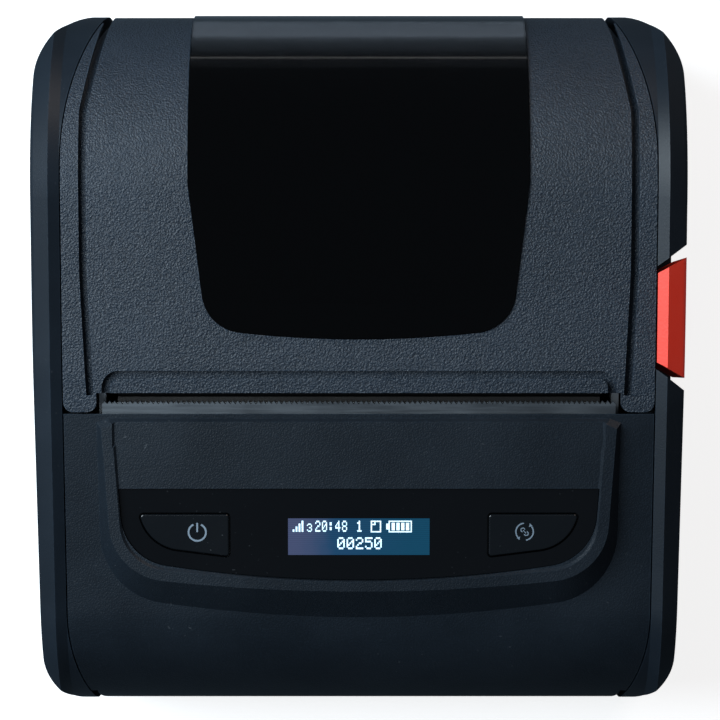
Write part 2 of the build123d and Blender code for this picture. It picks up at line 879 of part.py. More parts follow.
with BuildPart() as display_holder:
    with BuildSketch(control_plane(display_module_top + display_module_thickness)):
        with Locations((0, on_control(-30.1))):
            Rectangle(32.0, 9.6)
            Rectangle(26.0, 6.0, mode=Mode.SUBTRACT)
    extrude(amount=-(key_board_top - display_module_top - display_module_thickness))
save("display_holder", display_holder)

with BuildPart() as key_board:
    with BuildSketch(control_plane(key_board_top)):
        with Locations((0, on_control(-29.4))):
            Rectangle(74.0, 12.6)
    extrude(amount=-key_board_thickness)
save("key_board", key_board)

with BuildPart() as key_switches:
    with BuildSketch(control_plane(switch_top + 0.4)):
        with Locations((-28.0, on_control(-29.6)), (28.0, on_control(-29.6))):
            Rectangle(5.0, 5.0)
    extrude(amount=-(switch_height - 0.4))
    with BuildSketch(control_plane(switch_top)):
        with Locations((-28.0, on_control(-29.6)), (28.0, on_control(-29.6))):
            Circle(1.6)
    extrude(amount=-0.4)
save("key_switches", key_switches)

# Tear bar with its saw edge
tooth_count = round(2 * blade_half / tooth_pitch)
tooth_step = 2 * blade_half / tooth_count
edge = []
for tooth in range(tooth_count):
    left = -blade_half + tooth * tooth_step
    edge.append((left, -tooth_depth))
    edge.append((left + tooth_step / 2, 0))
with BuildPart() as tear_bar:
    with BuildSketch(blade_plane()):
        with BuildLine():
            Polyline(
                *edge,
                (blade_half, -tooth_depth),
                (blade_half, -blade_length),
                (-blade_half, -blade_length),
                close=True,
            )
        make_face()
    extrude(amount=-blade_thickness)
save("tear_bar", tear_bar)

# Cover
cover_lowest_z = hinge_z


def plan_strip(points, width, radius):
    """A band of constant width along straight runs, seen from above."""
    with BuildSketch(mode=Mode.PRIVATE) as band:
        with BuildLine() as line:
            FilletPolyline(*points, radius=radius)
        trace(line.line, line_width=width)
    return band.sketch


def window_outline(grow):
    """The window seen from above, open to the back."""
    with BuildSketch(mode=Mode.PRIVATE) as outline:
        with BuildLine():
            Polyline(
                (-window_low_half, window_low_y),
                (-window_half, window_side_y),
                (-window_half, back_y + 5),
                (window_half, back_y + 5),
                (window_half, window_side_y),
                (window_low_half, window_low_y),
            )
            ThreePointArc(
                (window_low_half, window_low_y), (0, window_sag_y), (-window_low_half, window_low_y)
            )
        make_face()
        fillet(outline.vertices().sort_by(Axis.Y)[:2], window_corner_radius)
        if grow:
            offset(amount=grow, mode=Mode.REPLACE)
    return outline.sketch


def skin(outer, inner, half):
    """The sheet between two grown copies of the body outline."""
    with BuildPart(mode=Mode.PRIVATE) as sheet:
        with BuildSketch(side_plane(-half)):
            add(body_outline(outer))
            add(body_outline(inner), mode=Mode.SUBTRACT)
        extrude(amount=2 * half)
    return sheet.part


with BuildPart() as cover_shell:
    add(skin(0, -wall, half_width))
    # seen from above: full width, with the lip set back between the two strips
    with BuildSketch(Plane.XY.offset(cover_lowest_z)) as plan:
        with Locations((0, strip_front_y)):
            Rectangle(2 * half_width, 90, align=(Align.CENTER, Align.MIN))
        with Locations((0, strip_front_y - 1)):
            Rectangle(2 * strip_inner_x, lip_y - strip_front_y + 1, align=(Align.CENTER, Align.MIN), mode=Mode.SUBTRACT)
        fillet(plan.vertices().group_by(Axis.Y)[0], strip_corner_radius)
    extrude(amount=80, mode=Mode.INTERSECT)
    for low_x, high_x in cover_knuckles:
        with BuildSketch(side_plane(low_x)):
            with Locations((hinge_y, hinge_z)):
                Circle(knuckle_radius)
            with Locations((back_y - wall, hinge_z)):
                Rectangle(wall, 4.0, align=(Align.MIN, Align.MIN))
        extrude(amount=high_x - low_x)
    for low_x, high_x in [(-half_width, cover_knuckles[0][0]), (cover_knuckles[0][1], cover_knuckles[1][0]),
                          (cover_knuckles[1][1], half_width)]:
        with BuildSketch(side_plane(low_x)):
            with Locations((hinge_y, hinge_z)):
                Circle(knuckle_cut)
        extrude(amount=high_x - low_x, mode=Mode.SUBTRACT)
    with Locations((0, hinge_y, hinge_z)):
        Cylinder(hinge_pin_radius + pin_clearance, 2 * half_width, rotation=(0, 90, 0), mode=Mode.SUBTRACT)
    # window opening
    with BuildSketch(Plane.XY.offset(window_back_z)):
        add(window_outline(0))
    extrude(amount=60, mode=Mode.SUBTRACT)

groove_tool = skin(1.0, -groove_depth, half_width + 1)
with BuildPart() as grooves:
    with BuildSketch(Plane.XY.offset(parting_z)):
        for side in (-1, 1):
            add(plan_strip(
                [
                    (side * (seam_back_x + 0.6), back_y + 4),
                    (side * groove_back_x, 41.0),
                    (side * groove_back_x, groove_bend_y),
                    (side * groove_front_x, lip_y - 0.4),
                ],
                groove_width,
                4.0,
            ))
        add(plan_strip(
            [
                (-lip_channel_half, lip_y - 2),
                (-lip_channel_half, lip_channel_y),
                (lip_channel_half, lip_channel_y),
                (lip_channel_half, lip_y - 2),
            ],
            lip_channel_width,
            lip_channel_radius,
        ))
    extrude(amount=60)
    add(groove_tool, mode=Mode.INTERSECT)
# the cover's side edges step in under its skin, to pass the curl of the rails as it swings back
relief_front_y = seam_back_start_y + 2.0
curl_tools = []
for relief_depth, relief_inset in curl_reliefs:
    with BuildPart() as curl_tool:
        with BuildSketch(side_plane(-half_width - 1)):
            add(body_outline(-relief_depth))
            with Locations((relief_front_y, 0)):
                Rectangle(40, 80, align=(Align.MIN, Align.MIN), mode=Mode.INTERSECT)
        extrude(amount=2 * half_width + 2)
        add(between_rails(relief_inset), mode=Mode.SUBTRACT)
    curl_tools.append(curl_tool.part)
with BuildPart() as low_curl_tool:
    with Locations((0, relief_front_y, 0)):
        Box(
            2 * half_width + 2, 40, curl_relief_low_z, align=(Align.CENTER, Align.MIN, Align.MIN)
        )
    add(between_rails(curl_reliefs[0][1]), mode=Mode.SUBTRACT)
curl_tools.append(low_curl_tool.part)
with BuildPart() as cover_shell_cut:
    add(cover_shell.part)
    add(grooves.part, mode=Mode.SUBTRACT)
    add(between_rails(), mode=Mode.INTERSECT)
    for curl_tool_part in curl_tools:
        add(curl_tool_part, mode=Mode.SUBTRACT)
save("cover_shell", cover_shell_cut)

with BuildPart() as window:
    with BuildSketch(Plane.XY.offset(window_back_z + window_gap)):
        add(window_outline(-window_gap))
    extrude(amount=60)
    add(skin(window_proud, -wall - window_flange, window_half), mode=Mode.INTERSECT)
with BuildPart() as window_edge:
    with BuildSketch(Plane.XY.offset(window_back_z - window_flange_width)):
        add(window_outline(window_flange_width))
    extrude(amount=60)
    add(skin(-wall - 0.05, -wall - window_flange, window_half + window_flange_width), mode=Mode.INTERSECT)
with BuildPart() as cover_window:
    add(window.part)
    add(window_edge.part)
save("cover_window", cover_window)

# Carrier under the cover's front: a beam with two ears that hold the platen's bushings
beam_front_y = 4.4
beam_back_y = 9.4
with BuildPart() as platen_carrier:
    for low_x, high_x, depth in (
        (-bushing_inner_x - 1.1, bushing_inner_x + 1.1, wall + window_flange + 0.1),
        (-bushing_inner_x - 1.1, -window_half - window_flange_width - 0.5, wall + 0.02),
        (window_half + window_flange_width + 0.5, bushing_inner_x + 1.1, wall + 0.02),
    ):
        with BuildSketch(side_plane(low_x)):
            with BuildLine():
                Polyline(
                    (beam_front_y, 46.0), (beam_back_y, 47.0), (beam_back_y, 60.0), (beam_front_y, 60.0), close=True
                )
            make_face()
            add(body_outline(-depth), mode=Mode.INTERSECT)
        extrude(amount=high_x - low_x)
    for low_x in (-bushing_inner_x - 1.1, bushing_inner_x):
        with BuildSketch(side_plane(low_x)):
            with Locations(platen):
                Circle(bushing_radius + 1.1)
            with BuildLine():
                Polyline(
                    (platen_y, platen_z - 3.6), (beam_back_y, 46.2), (beam_back_y, 50.5), (platen_y, 49.6), close=True
                )
            make_face()
        extrude(amount=1.1)
    with Locations((0, platen_y, platen_z)):
        Cylinder(bushing_radius, 200, rotation=(0, 90, 0), mode=Mode.SUBTRACT)
    with Locations((18.0, beam_front_y + 2.5, 40.0)):
        Box(8.0, 3.0, 7.5, align=(Align.CENTER, Align.CENTER, Align.MIN), mode=Mode.SUBTRACT)
save("platen_carrier", platen_carrier)

with BuildPart() as upper_sensor:
    with Locations((18.0, beam_front_y + 2.5, 45.6)):
        Box(7.6, 2.6, 1.8, align=(Align.CENTER, Align.CENTER, Align.MIN))
save("upper_sensor", upper_sensor)

for side, bushing_name in ((-1, "left_bushing"), (1, "right_bushing")):
    low_x = min(side * bushing_inner_x, side * bushing_outer_x)
    with BuildPart() as bushing:
        with BuildSketch(side_plane(low_x)):
            with Locations(platen):
                Circle(bushing_radius - 0.02)
                Circle(shaft_radius + running_clearance, mode=Mode.SUBTRACT)
        extrude(amount=bushing_outer_x - bushing_inner_x)
    save(bushing_name, bushing)

# Platen roller: steel shaft, rubber sleeve and a gear on the left end
with BuildPart() as platen_shaft:
    with BuildSketch(side_plane(-outer_gear_x - gear_width)):
        with Locations(platen):
            Circle(shaft_radius)
    extrude(amount=outer_gear_x + gear_width + bushing_outer_x)
save("platen_shaft", platen_shaft)

with BuildPart() as platen_rubber:
    with BuildSketch(side_plane(-platen_half)):
        with Locations(platen):
            Circle(platen_radius)
            Circle(shaft_radius, mode=Mode.SUBTRACT)
    extrude(amount=2 * platen_half)
save("platen_rubber", platen_rubber)


def gear(centre, teeth, phase, low_x, width, bore, module=gear_module):
    """A spur gear that turns about an X axis through its centre."""
    with BuildPart(mode=Mode.PRIVATE) as wheel:
        with BuildSketch(side_plane(low_x)):
            with Locations(centre):
                with BuildSketch(mode=Mode.PRIVATE) as outline:
                    with BuildLine():
                        Polyline(*gear_outline(module, teeth, phase, gear_backlash), close=True)
                    make_face()
                add(outline.sketch)
                if bore:
                    Circle(bore, mode=Mode.SUBTRACT)
        extrude(amount=width)
    return wheel.part


with BuildPart() as platen_gear:
    add(gear(platen, platen_teeth, platen_phase, -outer_gear_x - gear_width, gear_width, shaft_radius))
save("platen_gear", platen_gear)

with BuildPart() as idler_gear:
    add(gear(idler, idler_teeth, idler_phase, -outer_gear_x - gear_width, gear_width, stud_radius + running_clearance))
save("idler_gear", idler_gear)

with BuildPart() as reducer_gear:
    add(gear(reducer, large_teeth, large_phase, -inner_gear_x - gear_width, gear_width, 0))
    add(gear(reducer, small_teeth, small_phase, -outer_gear_x - gear_width, gear_width, 0))
    with BuildSketch(side_plane(-outer_gear_x - gear_width)):
        with Locations(reducer):
            Circle(2.4)
    extrude(amount=outer_gear_x + gear_width - inner_gear_x)
    with BuildSketch(side_plane(-50)):
        with Locations(reducer):
            Circle(stud_radius + running_clearance)
    extrude(amount=10, mode=Mode.SUBTRACT)
save("reducer_gear", reducer_gear)

with BuildPart() as motor_pinion:
    add(gear(motor, pinion_teeth, pinion_phase, -inner_gear_x - gear_width, gear_width, 0))
    with BuildSketch(side_plane(-inner_gear_x - gear_width)):
        with Locations(motor):
            Circle(motor_shaft_radius)
    extrude(amount=inner_gear_x + gear_width - plate_inner_x + 3.0)
save("motor_pinion", motor_pinion)

with BuildPart() as gear_studs:
    for place in (idler, reducer):
        with BuildSketch(side_plane(-outer_gear_x - gear_width - 0.2)):
            with Locations(place):
                Circle(stud_radius)
        extrude(amount=outer_gear_x + gear_width + 0.2 - plate_outer_x)
save("gear_studs", gear_studs)

with BuildPart() as stepper_motor:
    with BuildSketch(side_plane(-plate_inner_x + 0.05)):
        with Locations(motor):
            Circle(motor_radius)
    extrude(amount=motor_length)
    with BuildSketch(side_plane(-plate_inner_x + 0.05)):
        with Locations(motor):
            Circle(motor_shaft_radius + pin_clearance)
    extrude(amount=4.0, mode=Mode.SUBTRACT)
save("stepper_motor", stepper_motor)

# Mechanism frame: two side plates joined by a cross plate behind the print head
cross_front_y = head_face_y - ceramic_thickness - heat_sink_thickness - head_spring_length
with BuildPart() as mechanism_frame:
    for low_x in (-plate_outer_x, plate_inner_x):
        with BuildSketch(side_plane(low_x)):
            with BuildLine():
                Polyline(
                    (motor[0] - 6.0, bay_roof_z),
                    (2.6, bay_roof_z),
                    (2.6, 47.6),
                    (-3.6, 49.4),
                    (-12.0, 47.6),
                    (motor[0] - 6.0, 41.0),
                    close=True,
                )
            make_face()
            with Locations(platen):
                Circle(bushing_radius + pin_clearance, mode=Mode.SUBTRACT)
            with Locations(Location((platen_y, platen_z, 0), (0, 0, math.degrees(release)))):
                Rectangle(12, 2 * (bushing_radius + pin_clearance), align=(Align.MIN, Align.CENTER), mode=Mode.SUBTRACT)
            with Locations((latch_y, latch_z)):
                Circle(latch_radius + pin_clearance, mode=Mode.SUBTRACT)
            with Locations((head_pivot_y, head_pivot_z)):
                Circle(head_pivot_radius, mode=Mode.SUBTRACT)
            if low_x < 0:
                with Locations(motor):
                    Circle(2.6, mode=Mode.SUBTRACT)
        extrude(amount=plate_outer_x - plate_inner_x)
    with Locations((0, cross_front_y - cross_plate_thickness, 28.0)):
        Box(
            2 * plate_inner_x + 0.2,
            cross_plate_thickness,
            18.0,
            align=(Align.CENTER, Align.MIN, Align.MIN),
        )
save("mechanism_frame", mechanism_frame)

# Print head on its rocker
with BuildPart() as print_head:
    with Locations((0, head_face_y, head_low_z + 2.0)):
        Box(
            2 * head_half,
            ceramic_thickness,
            head_top_z - head_low_z - 2.0,
            align=(Align.CENTER, Align.MAX, Align.MIN),
        )
save("print_head", print_head)

with BuildPart() as heat_sink:
    with Locations((0, head_face_y - ceramic_thickness, head_low_z)):
        Box(
            2 * (head_half + 1.2),
            heat_sink_thickness,
            head_top_z - head_low_z,
            align=(Align.CENTER, Align.MAX, Align.MIN),
        )
    with Locations((0, head_pivot_y, head_pivot_z)):
        Cylinder(head_pivot_radius + pin_clearance, 200, rotation=(0, 90, 0), mode=Mode.SUBTRACT)
save("heat_sink", heat_sink)

with BuildPart() as head_pivot_pin:
    with Locations((0, head_pivot_y, head_pivot_z)):
        Cylinder(head_pivot_radius - 0.01, 2 * plate_outer_x, rotation=(0, 90, 0))
save("head_pivot_pin", head_pivot_pin)

head_spring_places = (-25.0, 0.0, 25.0)
with BuildPart() as head_springs:
    for spring_x in head_spring_places:
        with Locations(Location((spring_x, cross_front_y + 0.02, 43.0), (-90, 0, 0))):
            add(coil_spring(head_spring_radius, 0.4, 4, head_spring_length - 0.04))
save("head_springs", head_springs)

# Latch: shaft, two hooks and the lever under the release tab
with BuildPart() as latch:
    with Locations((0, latch_y, latch_z)):
        Cylinder(latch_radius, 2 * hook_outer_x + 0.2, rotation=(0, 90, 0))
    for low_x in (-hook_outer_x, hook_inner_x):
        with BuildSketch(side_plane(low_x)):
            with BuildLine():
                Polyline(
                    (latch_y - 1.9, latch_z + 0.6),
                    (latch_y + 1.2, latch_z - 1.8),
                    (4.6, 44.0),
                    (4.2, 49.9),
                    (1.6, 50.1),
                    (0.1, 47.4),
                    (0.6, 42.5),
                    close=True,
                )
            make_face()
            with Locations((latch_y, latch_z)):
                Circle(2.1)
            with Locations(platen):
                Circle(bushing_radius + 0.15, mode=Mode.SUBTRACT)
        extrude(amount=hook_outer_x - hook_inner_x)
    with BuildSketch(side_plane(hook_outer_x)):
        with Locations((latch_y, latch_z)):
            Circle(2.1)
    extrude(amount=lever_outer_x - hook_outer_x)
    with BuildSketch(side_plane(lever_inner_x)):
        with BuildLine():
            Polyline(
                (latch_y, latch_z - 1.6),
                (button_tab_y + 2.2, latch_z + 0.4),
                (button_tab_y + 2.2, latch_z + 2.4),
                (latch_y, latch_z + 1.9),
                close=True,
            )
        make_face()
    extrude(amount=lever_outer_x - lever_inner_x)
save("latch", latch)

# Label bay: a trough with side walls, and a shelf that leads the labels under the platen
with BuildPart() as label_bay:
    with BuildSketch(side_plane(-bay_half - bay_side_wall)):
        with Locations((roll_y, roll_z)):
            Circle(bay_radius + bay_wall)
        with Locations((roll_y - bay_radius - bay_wall, roll_z)):
            Rectangle(bay_wall + 0.6, shelf_z - roll_z, align=(Align.MIN, Align.MIN))
        with Locations((-4.8, shelf_z - 1.2)):
            Rectangle(9.6, 1.2, align=(Align.MIN, Align.MIN))
        with Locations((roll_y, roll_z)):
            Circle(bay_radius, mode=Mode.SUBTRACT)
        with Locations((roll_y - bay_radius + 0.3, roll_z + 1)):
            Rectangle(200, 60, align=(Align.MIN, Align.MIN), mode=Mode.SUBTRACT)
        with Locations((roll_y, roll_z)):
            Rectangle(200, 60, align=(Align.MIN, Align.MIN), mode=Mode.SUBTRACT)
        with Locations((bay_back_y, 0)):
            Rectangle(20, 60, align=(Align.MIN, Align.MIN), mode=Mode.SUBTRACT)
    extrude(amount=2 * (bay_half + bay_side_wall))
    for low_x in (-bay_half - bay_side_wall, bay_half):
        with BuildSketch(side_plane(low_x)):
            with BuildLine():
                Polyline(
                    (roll_y - bay_radius - bay_wall, 8.0),
                    (roll_y - 16.0, floor_z + 0.1),
                    (roll_y + 15.0, floor_z + 0.1),
                    (bay_back_y + 1.8, 10.0),
                    (bay_back_y + 1.8, bay_top_z - 12.0),
                    (bay_back_y - 6.0, bay_top_z),
                    (roll_y - bay_radius - bay_wall, bay_top_z),
                    close=True,
                )
            make_face()
        extrude(amount=bay_side_wall)
    # slots for the holders' legs
    for side in (-1, 1):
        slot_near = side * (holder_face_x + holder_thickness + 0.2)
        slot_far = side * (holder_face_x - holder_travel - 0.4)
        with BuildSketch(Plane.XY):
            with Locations(((slot_near + slot_far) / 2, (leg_front_y + leg_back_y) / 2)):
                Rectangle(abs(slot_near - slot_far), leg_back_y - leg_front_y + 0.8)
        extrude(amount=roll_z, mode=Mode.SUBTRACT)
    # the shelf stops short of the mechanism plates, and holds the lower sensor
    for side in (-1, 1):
        with Locations((side * (plate_inner_x + 2.0 - 0.3), -10.0, shelf_z - 4)):
            Box(4.0, 25.8, 6.0, align=(Align.CENTER, Align.CENTER, Align.MIN), mode=Mode.SUBTRACT)
    with Locations((18.0, beam_front_y + 2.5 - 6.0, shelf_z - 3)):
        Box(8.0, 3.0, 6.0, align=(Align.CENTER, Align.CENTER, Align.MIN), mode=Mode.SUBTRACT)
save("label_bay", label_bay)

with BuildPart() as lower_sensor:
    with Locations((18.0, beam_front_y + 2.5 - 6.0, shelf_z - 1.9)):
        Box(7.6, 2.6, 1.8, align=(Align.CENTER, Align.CENTER, Align.MIN))
save("lower_sensor", lower_sensor)


# Roll holders: hub, arm, leg through the trough and a rack under it
def rack_outline(side, back_y_edge, pitch_y):
    """A rack along X whose teeth point at the pinion. Gaps are centred on the pinion at rest."""
    facing = 1 if pitch_y < rack_pinion_y else -1
    pitch = math.pi * rack_module
    tip = 0.8 * rack_module
    root = 1.15 * rack_module
    lean = math.tan(math.radians(20))
    half_tooth = (pitch / 2 - gear_backlash) / 2
    inner_x = -side * rack_overrun
    outer_x = side * holder_face_x
    low_x, high_x = sorted((inner_x, outer_x))
    points = [(low_x, back_y_edge), (low_x, pitch_y - facing * root)]
    count = math.floor((high_x - low_x) / pitch)
    first = math.ceil(low_x / pitch - 0.5) + 1
    for index in range(count - 1):
        middle = (first + index - 0.5) * pitch
        if middle + pitch / 2 > high_x or middle - pitch / 2 < low_x:
            continue
        points.append((middle - half_tooth - root * lean, pitch_y - facing * root))
        points.append((middle - half_tooth + tip * lean, pitch_y + facing * tip))
        points.append((middle + half_tooth - tip * lean, pitch_y + facing * tip))
        points.append((middle + half_tooth + root * lean, pitch_y - facing * root))
    points.append((high_x, pitch_y - facing * root))
    points.append((high_x, back_y_edge))
    return points


rack_pitch_radius = rack_module * rack_teeth / 2
for side, side_name in ((-1, "left"), (1, "right")):
    pitch_y = rack_pinion_y + side * rack_pitch_radius
    bar_back_y = pitch_y + side * (1.15 * rack_module + rack_bar)
    plate_low_x = min(side * holder_face_x, side * (holder_face_x + holder_thickness))
    hub_low_x = min(side * holder_face_x, side * (holder_face_x - hub_length))
    with BuildPart() as holder:
        with BuildSketch(side_plane(plate_low_x)):
            with Locations((roll_y, roll_z)):
                Circle(holder_disc_radius)
            with BuildLine():
                Polyline((leg_front_y, 20.0), (20.5, 35.5), (36.0, 21.0), (leg_back_y, 12.0), close=True)
            make_face()
            with Locations(((leg_front_y + leg_back_y) / 2, rack_low_z)):
                Rectangle(leg_back_y - leg_front_y, 18.5, align=(Align.CENTER, Align.MIN))
        extrude(amount=holder_thickness)
        foot_low_y, foot_high_y = sorted((bar_back_y, (leg_front_y + leg_back_y) / 2))
        with Locations((plate_low_x, foot_low_y, rack_low_z)):
            Box(holder_thickness, foot_high_y - foot_low_y, rack_height, align=(Align.MIN, Align.MIN, Align.MIN))
    save(f"{side_name}_roll_holder", holder)
    with BuildPart() as hub:
        with BuildSketch(side_plane(hub_low_x)):
            with Locations((roll_y, roll_z)):
                Circle(hub_radius)
                Circle(hub_radius - 1.4, mode=Mode.SUBTRACT)
        extrude(amount=hub_length)
    save(f"{side_name}_hub", hub)
    with BuildPart() as rack:
        with BuildSketch(Plane.XY.offset(rack_low_z)):
            with BuildLine():
                Polyline(*rack_outline(side, bar_back_y, pitch_y), close=True)
            make_face()
        extrude(amount=rack_height)
    save(f"{side_name}_rack", rack)

with BuildPart() as holder_pinion:
    with BuildSketch(Plane.XY.offset(rack_low_z)):
        with Locations((0, rack_pinion_y)):
            with BuildSketch(mode=Mode.PRIVATE) as outline:
                with BuildLine():
                    Polyline(
                        *gear_outline(rack_module, rack_teeth, math.pi / 2, gear_backlash), close=True
                    )
                make_face()
            add(outline.sketch)
            Circle(1.5 + pin_clearance, mode=Mode.SUBTRACT)
    extrude(amount=rack_height)
save("holder_pinion", holder_pinion)

# Battery pack and its slide catch in the underside
with BuildPart() as battery_pack:
    with BuildSketch(Plane.XY.offset(feet_height + 0.2)):
        with Locations(((battery_left_x + battery_right_x) / 2, (battery_front_y + battery_back_y) / 2)):
            RectangleRounded(battery_right_x - battery_left_x, battery_back_y - battery_front_y, 1.5)
    extrude(amount=battery_top_z - feet_height - 0.2)
    with Locations((battery_left_x, (battery_front_y + battery_back_y) / 2, feet_height + 0.2)):
        Box(
            2 * battery_notch_depth,
            battery_notch_length - 1.0,
            2.6,
            align=(Align.CENTER, Align.CENTER, Align.MIN),
            mode=Mode.SUBTRACT,
        )
save("battery_pack", battery_pack)

with BuildPart() as hinge_pin:
    with Locations((0, hinge_y, hinge_z)):
        Cylinder(hinge_pin_radius, 2 * hinge_pin_half, rotation=(0, 90, 0))
save("hinge_pin", hinge_pin)

# Main board with its socket
with BuildPart() as main_board:
    with BuildSketch(Plane.XY.offset(board_z)):
        with Locations((-24.8, -46.0)):
            Rectangle(66.0, 37.0, align=(Align.MIN, Align.MIN))
        with Locations((-half_width + wall + 0.4, -46.0)):
            Rectangle(26.0, 8.0, align=(Align.MIN, Align.MIN))
    extrude(amount=board_thickness)
save("main_board", main_board)

with BuildPart() as board_parts:
    with BuildSketch(Plane.XY.offset(board_z + board_thickness)):
        with Locations((5, -30)):
            Rectangle(12, 12)
        with Locations((24, -34)):
            Rectangle(9, 6)
        with Locations((-12, -38)):
            Rectangle(7, 7)
        with Locations((30, -18)):
            Rectangle(14, 5)
        with Locations((-10, -14)):
            Rectangle(20, 4.5)
    extrude(amount=2.0)
save("board_parts", board_parts)

socket_depth = 7.3
with BuildPart() as charging_socket:
    with BuildSketch(side_plane(-half_width)):
        with Locations((socket_y, socket_z)):
            RectangleRounded(socket_width, socket_height, 1.55)
    extrude(amount=socket_depth)
    with BuildSketch(side_plane(-half_width)):
        with Locations((socket_y, socket_z)):
            RectangleRounded(socket_width - 0.6, socket_height - 0.6, 1.25)
            Rectangle(6.7, 0.7, mode=Mode.SUBTRACT)
    extrude(amount=socket_depth - 1.0, mode=Mode.SUBTRACT)
save("charging_socket", charging_socket)

# Feet and screws
with BuildPart() as rubber_feet:
    with BuildSketch():
        with Locations((-38.0, -44.2), (38.0, -44.2), (-38.0, 38.0), (38.0, 38.0)):
            RectangleRounded(10.0, 3.4, 1.6)
    extrude(amount=feet_height)
save("rubber_feet", rubber_feet)

with BuildPart() as casing_screws:
    for x, y in screw_places:
        with Locations((x, y, 5.0)):
            Cylinder(screw_head_radius - 0.15, 1.6, align=(Align.CENTER, Align.CENTER, Align.MAX))
            Cylinder(screw_radius - 0.05, 15.0, align=(Align.CENTER, Align.CENTER, Align.MIN))
        with Locations((x, y, 3.4)):
            Box(2.2, 0.5, 0.6, align=(Align.CENTER, Align.CENTER, Align.MIN), mode=Mode.SUBTRACT)
            Box(0.5, 2.2, 0.6, align=(Align.CENTER, Align.CENTER, Align.MIN), mode=Mode.SUBTRACT)
save("casing_screws", casing_screws)
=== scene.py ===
import json
import math

import bmesh
import bpy
from mathutils import Matrix, Vector


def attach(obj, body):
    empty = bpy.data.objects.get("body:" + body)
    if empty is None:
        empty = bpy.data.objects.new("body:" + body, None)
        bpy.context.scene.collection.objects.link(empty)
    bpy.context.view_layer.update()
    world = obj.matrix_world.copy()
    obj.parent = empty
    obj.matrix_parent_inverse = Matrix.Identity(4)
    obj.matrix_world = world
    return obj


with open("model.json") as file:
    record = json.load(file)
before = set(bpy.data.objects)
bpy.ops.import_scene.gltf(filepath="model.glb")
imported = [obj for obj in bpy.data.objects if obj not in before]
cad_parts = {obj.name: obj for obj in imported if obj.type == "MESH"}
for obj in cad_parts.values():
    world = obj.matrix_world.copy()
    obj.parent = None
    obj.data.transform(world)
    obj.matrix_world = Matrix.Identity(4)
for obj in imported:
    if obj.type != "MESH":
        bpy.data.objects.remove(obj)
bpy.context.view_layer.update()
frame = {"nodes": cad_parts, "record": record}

MM = 0.001

# Places on the printer, in millimetres
control_slope = math.radians(9.0)
platform_rear = Vector((0.0, -10.9, 52.8))
key_face_depth = 0.65
display_depth = 0.9
power_mark = (-27.1, -29.2)
feed_mark = (27.8, -29.1)
display_middle_y = -30.0
mark_thickness = 0.02
mark_ring_radius = 1.46
power_ring_width = 0.30
power_ring_gap = (64, 116)
power_stroke_half = 0.14
power_stroke = (0.05, 1.62)
feed_ring_width = 0.22
feed_tip_size = 0.36
feed_tip_lead = 10
link_offset = (0.28, 0.30)
link_radius = 0.34
link_width = 0.16
link_half_turn = 120
link_bar_half = (0.36, 0.07)
link_bar_turn = -48
display_text_rise = 2.75
dot_fill = 0.98

# Lamps, camera and table, in metres
camera_height = 0.6
camera_aim = (0.0002, -0.0002)
camera_lens = 164.2
camera_sensor = 36.0
table_half = 5.0
table_roughness = 0.9
table_shade = (0.52, 0.53, 0.54, 1.0)
table_glow = 0.8
card_half = 1.4
card_height = 0.0002
card_shade = (0.07, 0.09, 0.11, 1.0)
room_light = (0.17, 0.20, 0.24, 1.0)
room_strength = 0.32
window_light_place = (-0.27, 0.08, 0.34)
window_light_aim = (-0.02, 0.0, 0.04)
window_light_size = (0.28, 0.32)
window_light_power = 3.1
window_light_colour = (0.80, 0.92, 1.0)
warm_light_place = (0.30, 0.44, 0.30)
warm_light_aim = (0.03, 0.02, 0.05)
warm_light_size = (0.24, 0.24)
warm_light_power = 0.9
warm_light_colour = (1.0, 0.84, 0.74)

# What all plastics share
dust_colour = (150, 155, 160)
gloss_dust_colour = (120, 126, 132)
orange_peel_depth = 0.000012


def linear(red, green, blue):
    """A colour picked in 0-255 steps on a screen, as the linear colour that shaders take."""
    channels = []
    for value in (red, green, blue):
        share = value / 255
        channels.append(share / 12.92 if share <= 0.04045 else ((share + 0.055) / 1.055) ** 2.4)
    return (*channels, 1.0)


# Places of the colour sockets on a Mix node
mix_first = 6
mix_second = 7
mix_result = 2


# Shader building blocks
def new_group(name, inputs, outputs):
    """An empty node group with float inputs at their default values and the named outputs."""
    group = bpy.data.node_groups.new(name, "ShaderNodeTree")
    for socket_name, value in inputs:
        socket = group.interface.new_socket(socket_name, in_out="INPUT", socket_type="NodeSocketFloat")
        socket.default_value = value
    for socket_name in outputs:
        group.interface.new_socket(socket_name, in_out="OUTPUT", socket_type="NodeSocketFloat")
    return group, group.nodes.new("NodeGroupInput"), group.nodes.new("NodeGroupOutput")


def pattern_place(tree, stretch=(1.0, 1.0, 1.0)):
    """Object coordinates through a Mapping node, for a pattern that keeps its real size."""
    coordinates = tree.nodes.new("ShaderNodeTexCoord")
    mapping = tree.nodes.new("ShaderNodeMapping")
    mapping.inputs["Scale"].default_value = stretch
    tree.links.new(coordinates.outputs["Object"], mapping.inputs["Vector"])
    return mapping.outputs["Vector"]


def calculate(tree, operation, first, second=None):
    """A Math node whose inputs are sockets or numbers."""
    node = tree.nodes.new("ShaderNodeMath")
    node.operation = operation
    for index, value in enumerate((first, second)):
        if value is None:
            continue
        if isinstance(value, (int, float)):
            node.inputs[index].default_value = value
        else:
            tree.links.new(value, node.inputs[index])
    return node.outputs[0]


def ramp_between(tree, value, low, high, low_to=0.0, high_to=1.0):
    """A smooth step of a value from one range to another."""
    node = tree.nodes.new("ShaderNodeMapRange")
    node.interpolation_type = "SMOOTHSTEP"
    node.inputs["From Min"].default_value = low
    node.inputs["From Max"].default_value = high
    node.inputs["To Min"].default_value = low_to
    node.inputs["To Max"].default_value = high_to
    tree.links.new(value, node.inputs["Value"])
    return node.outputs["Result"]


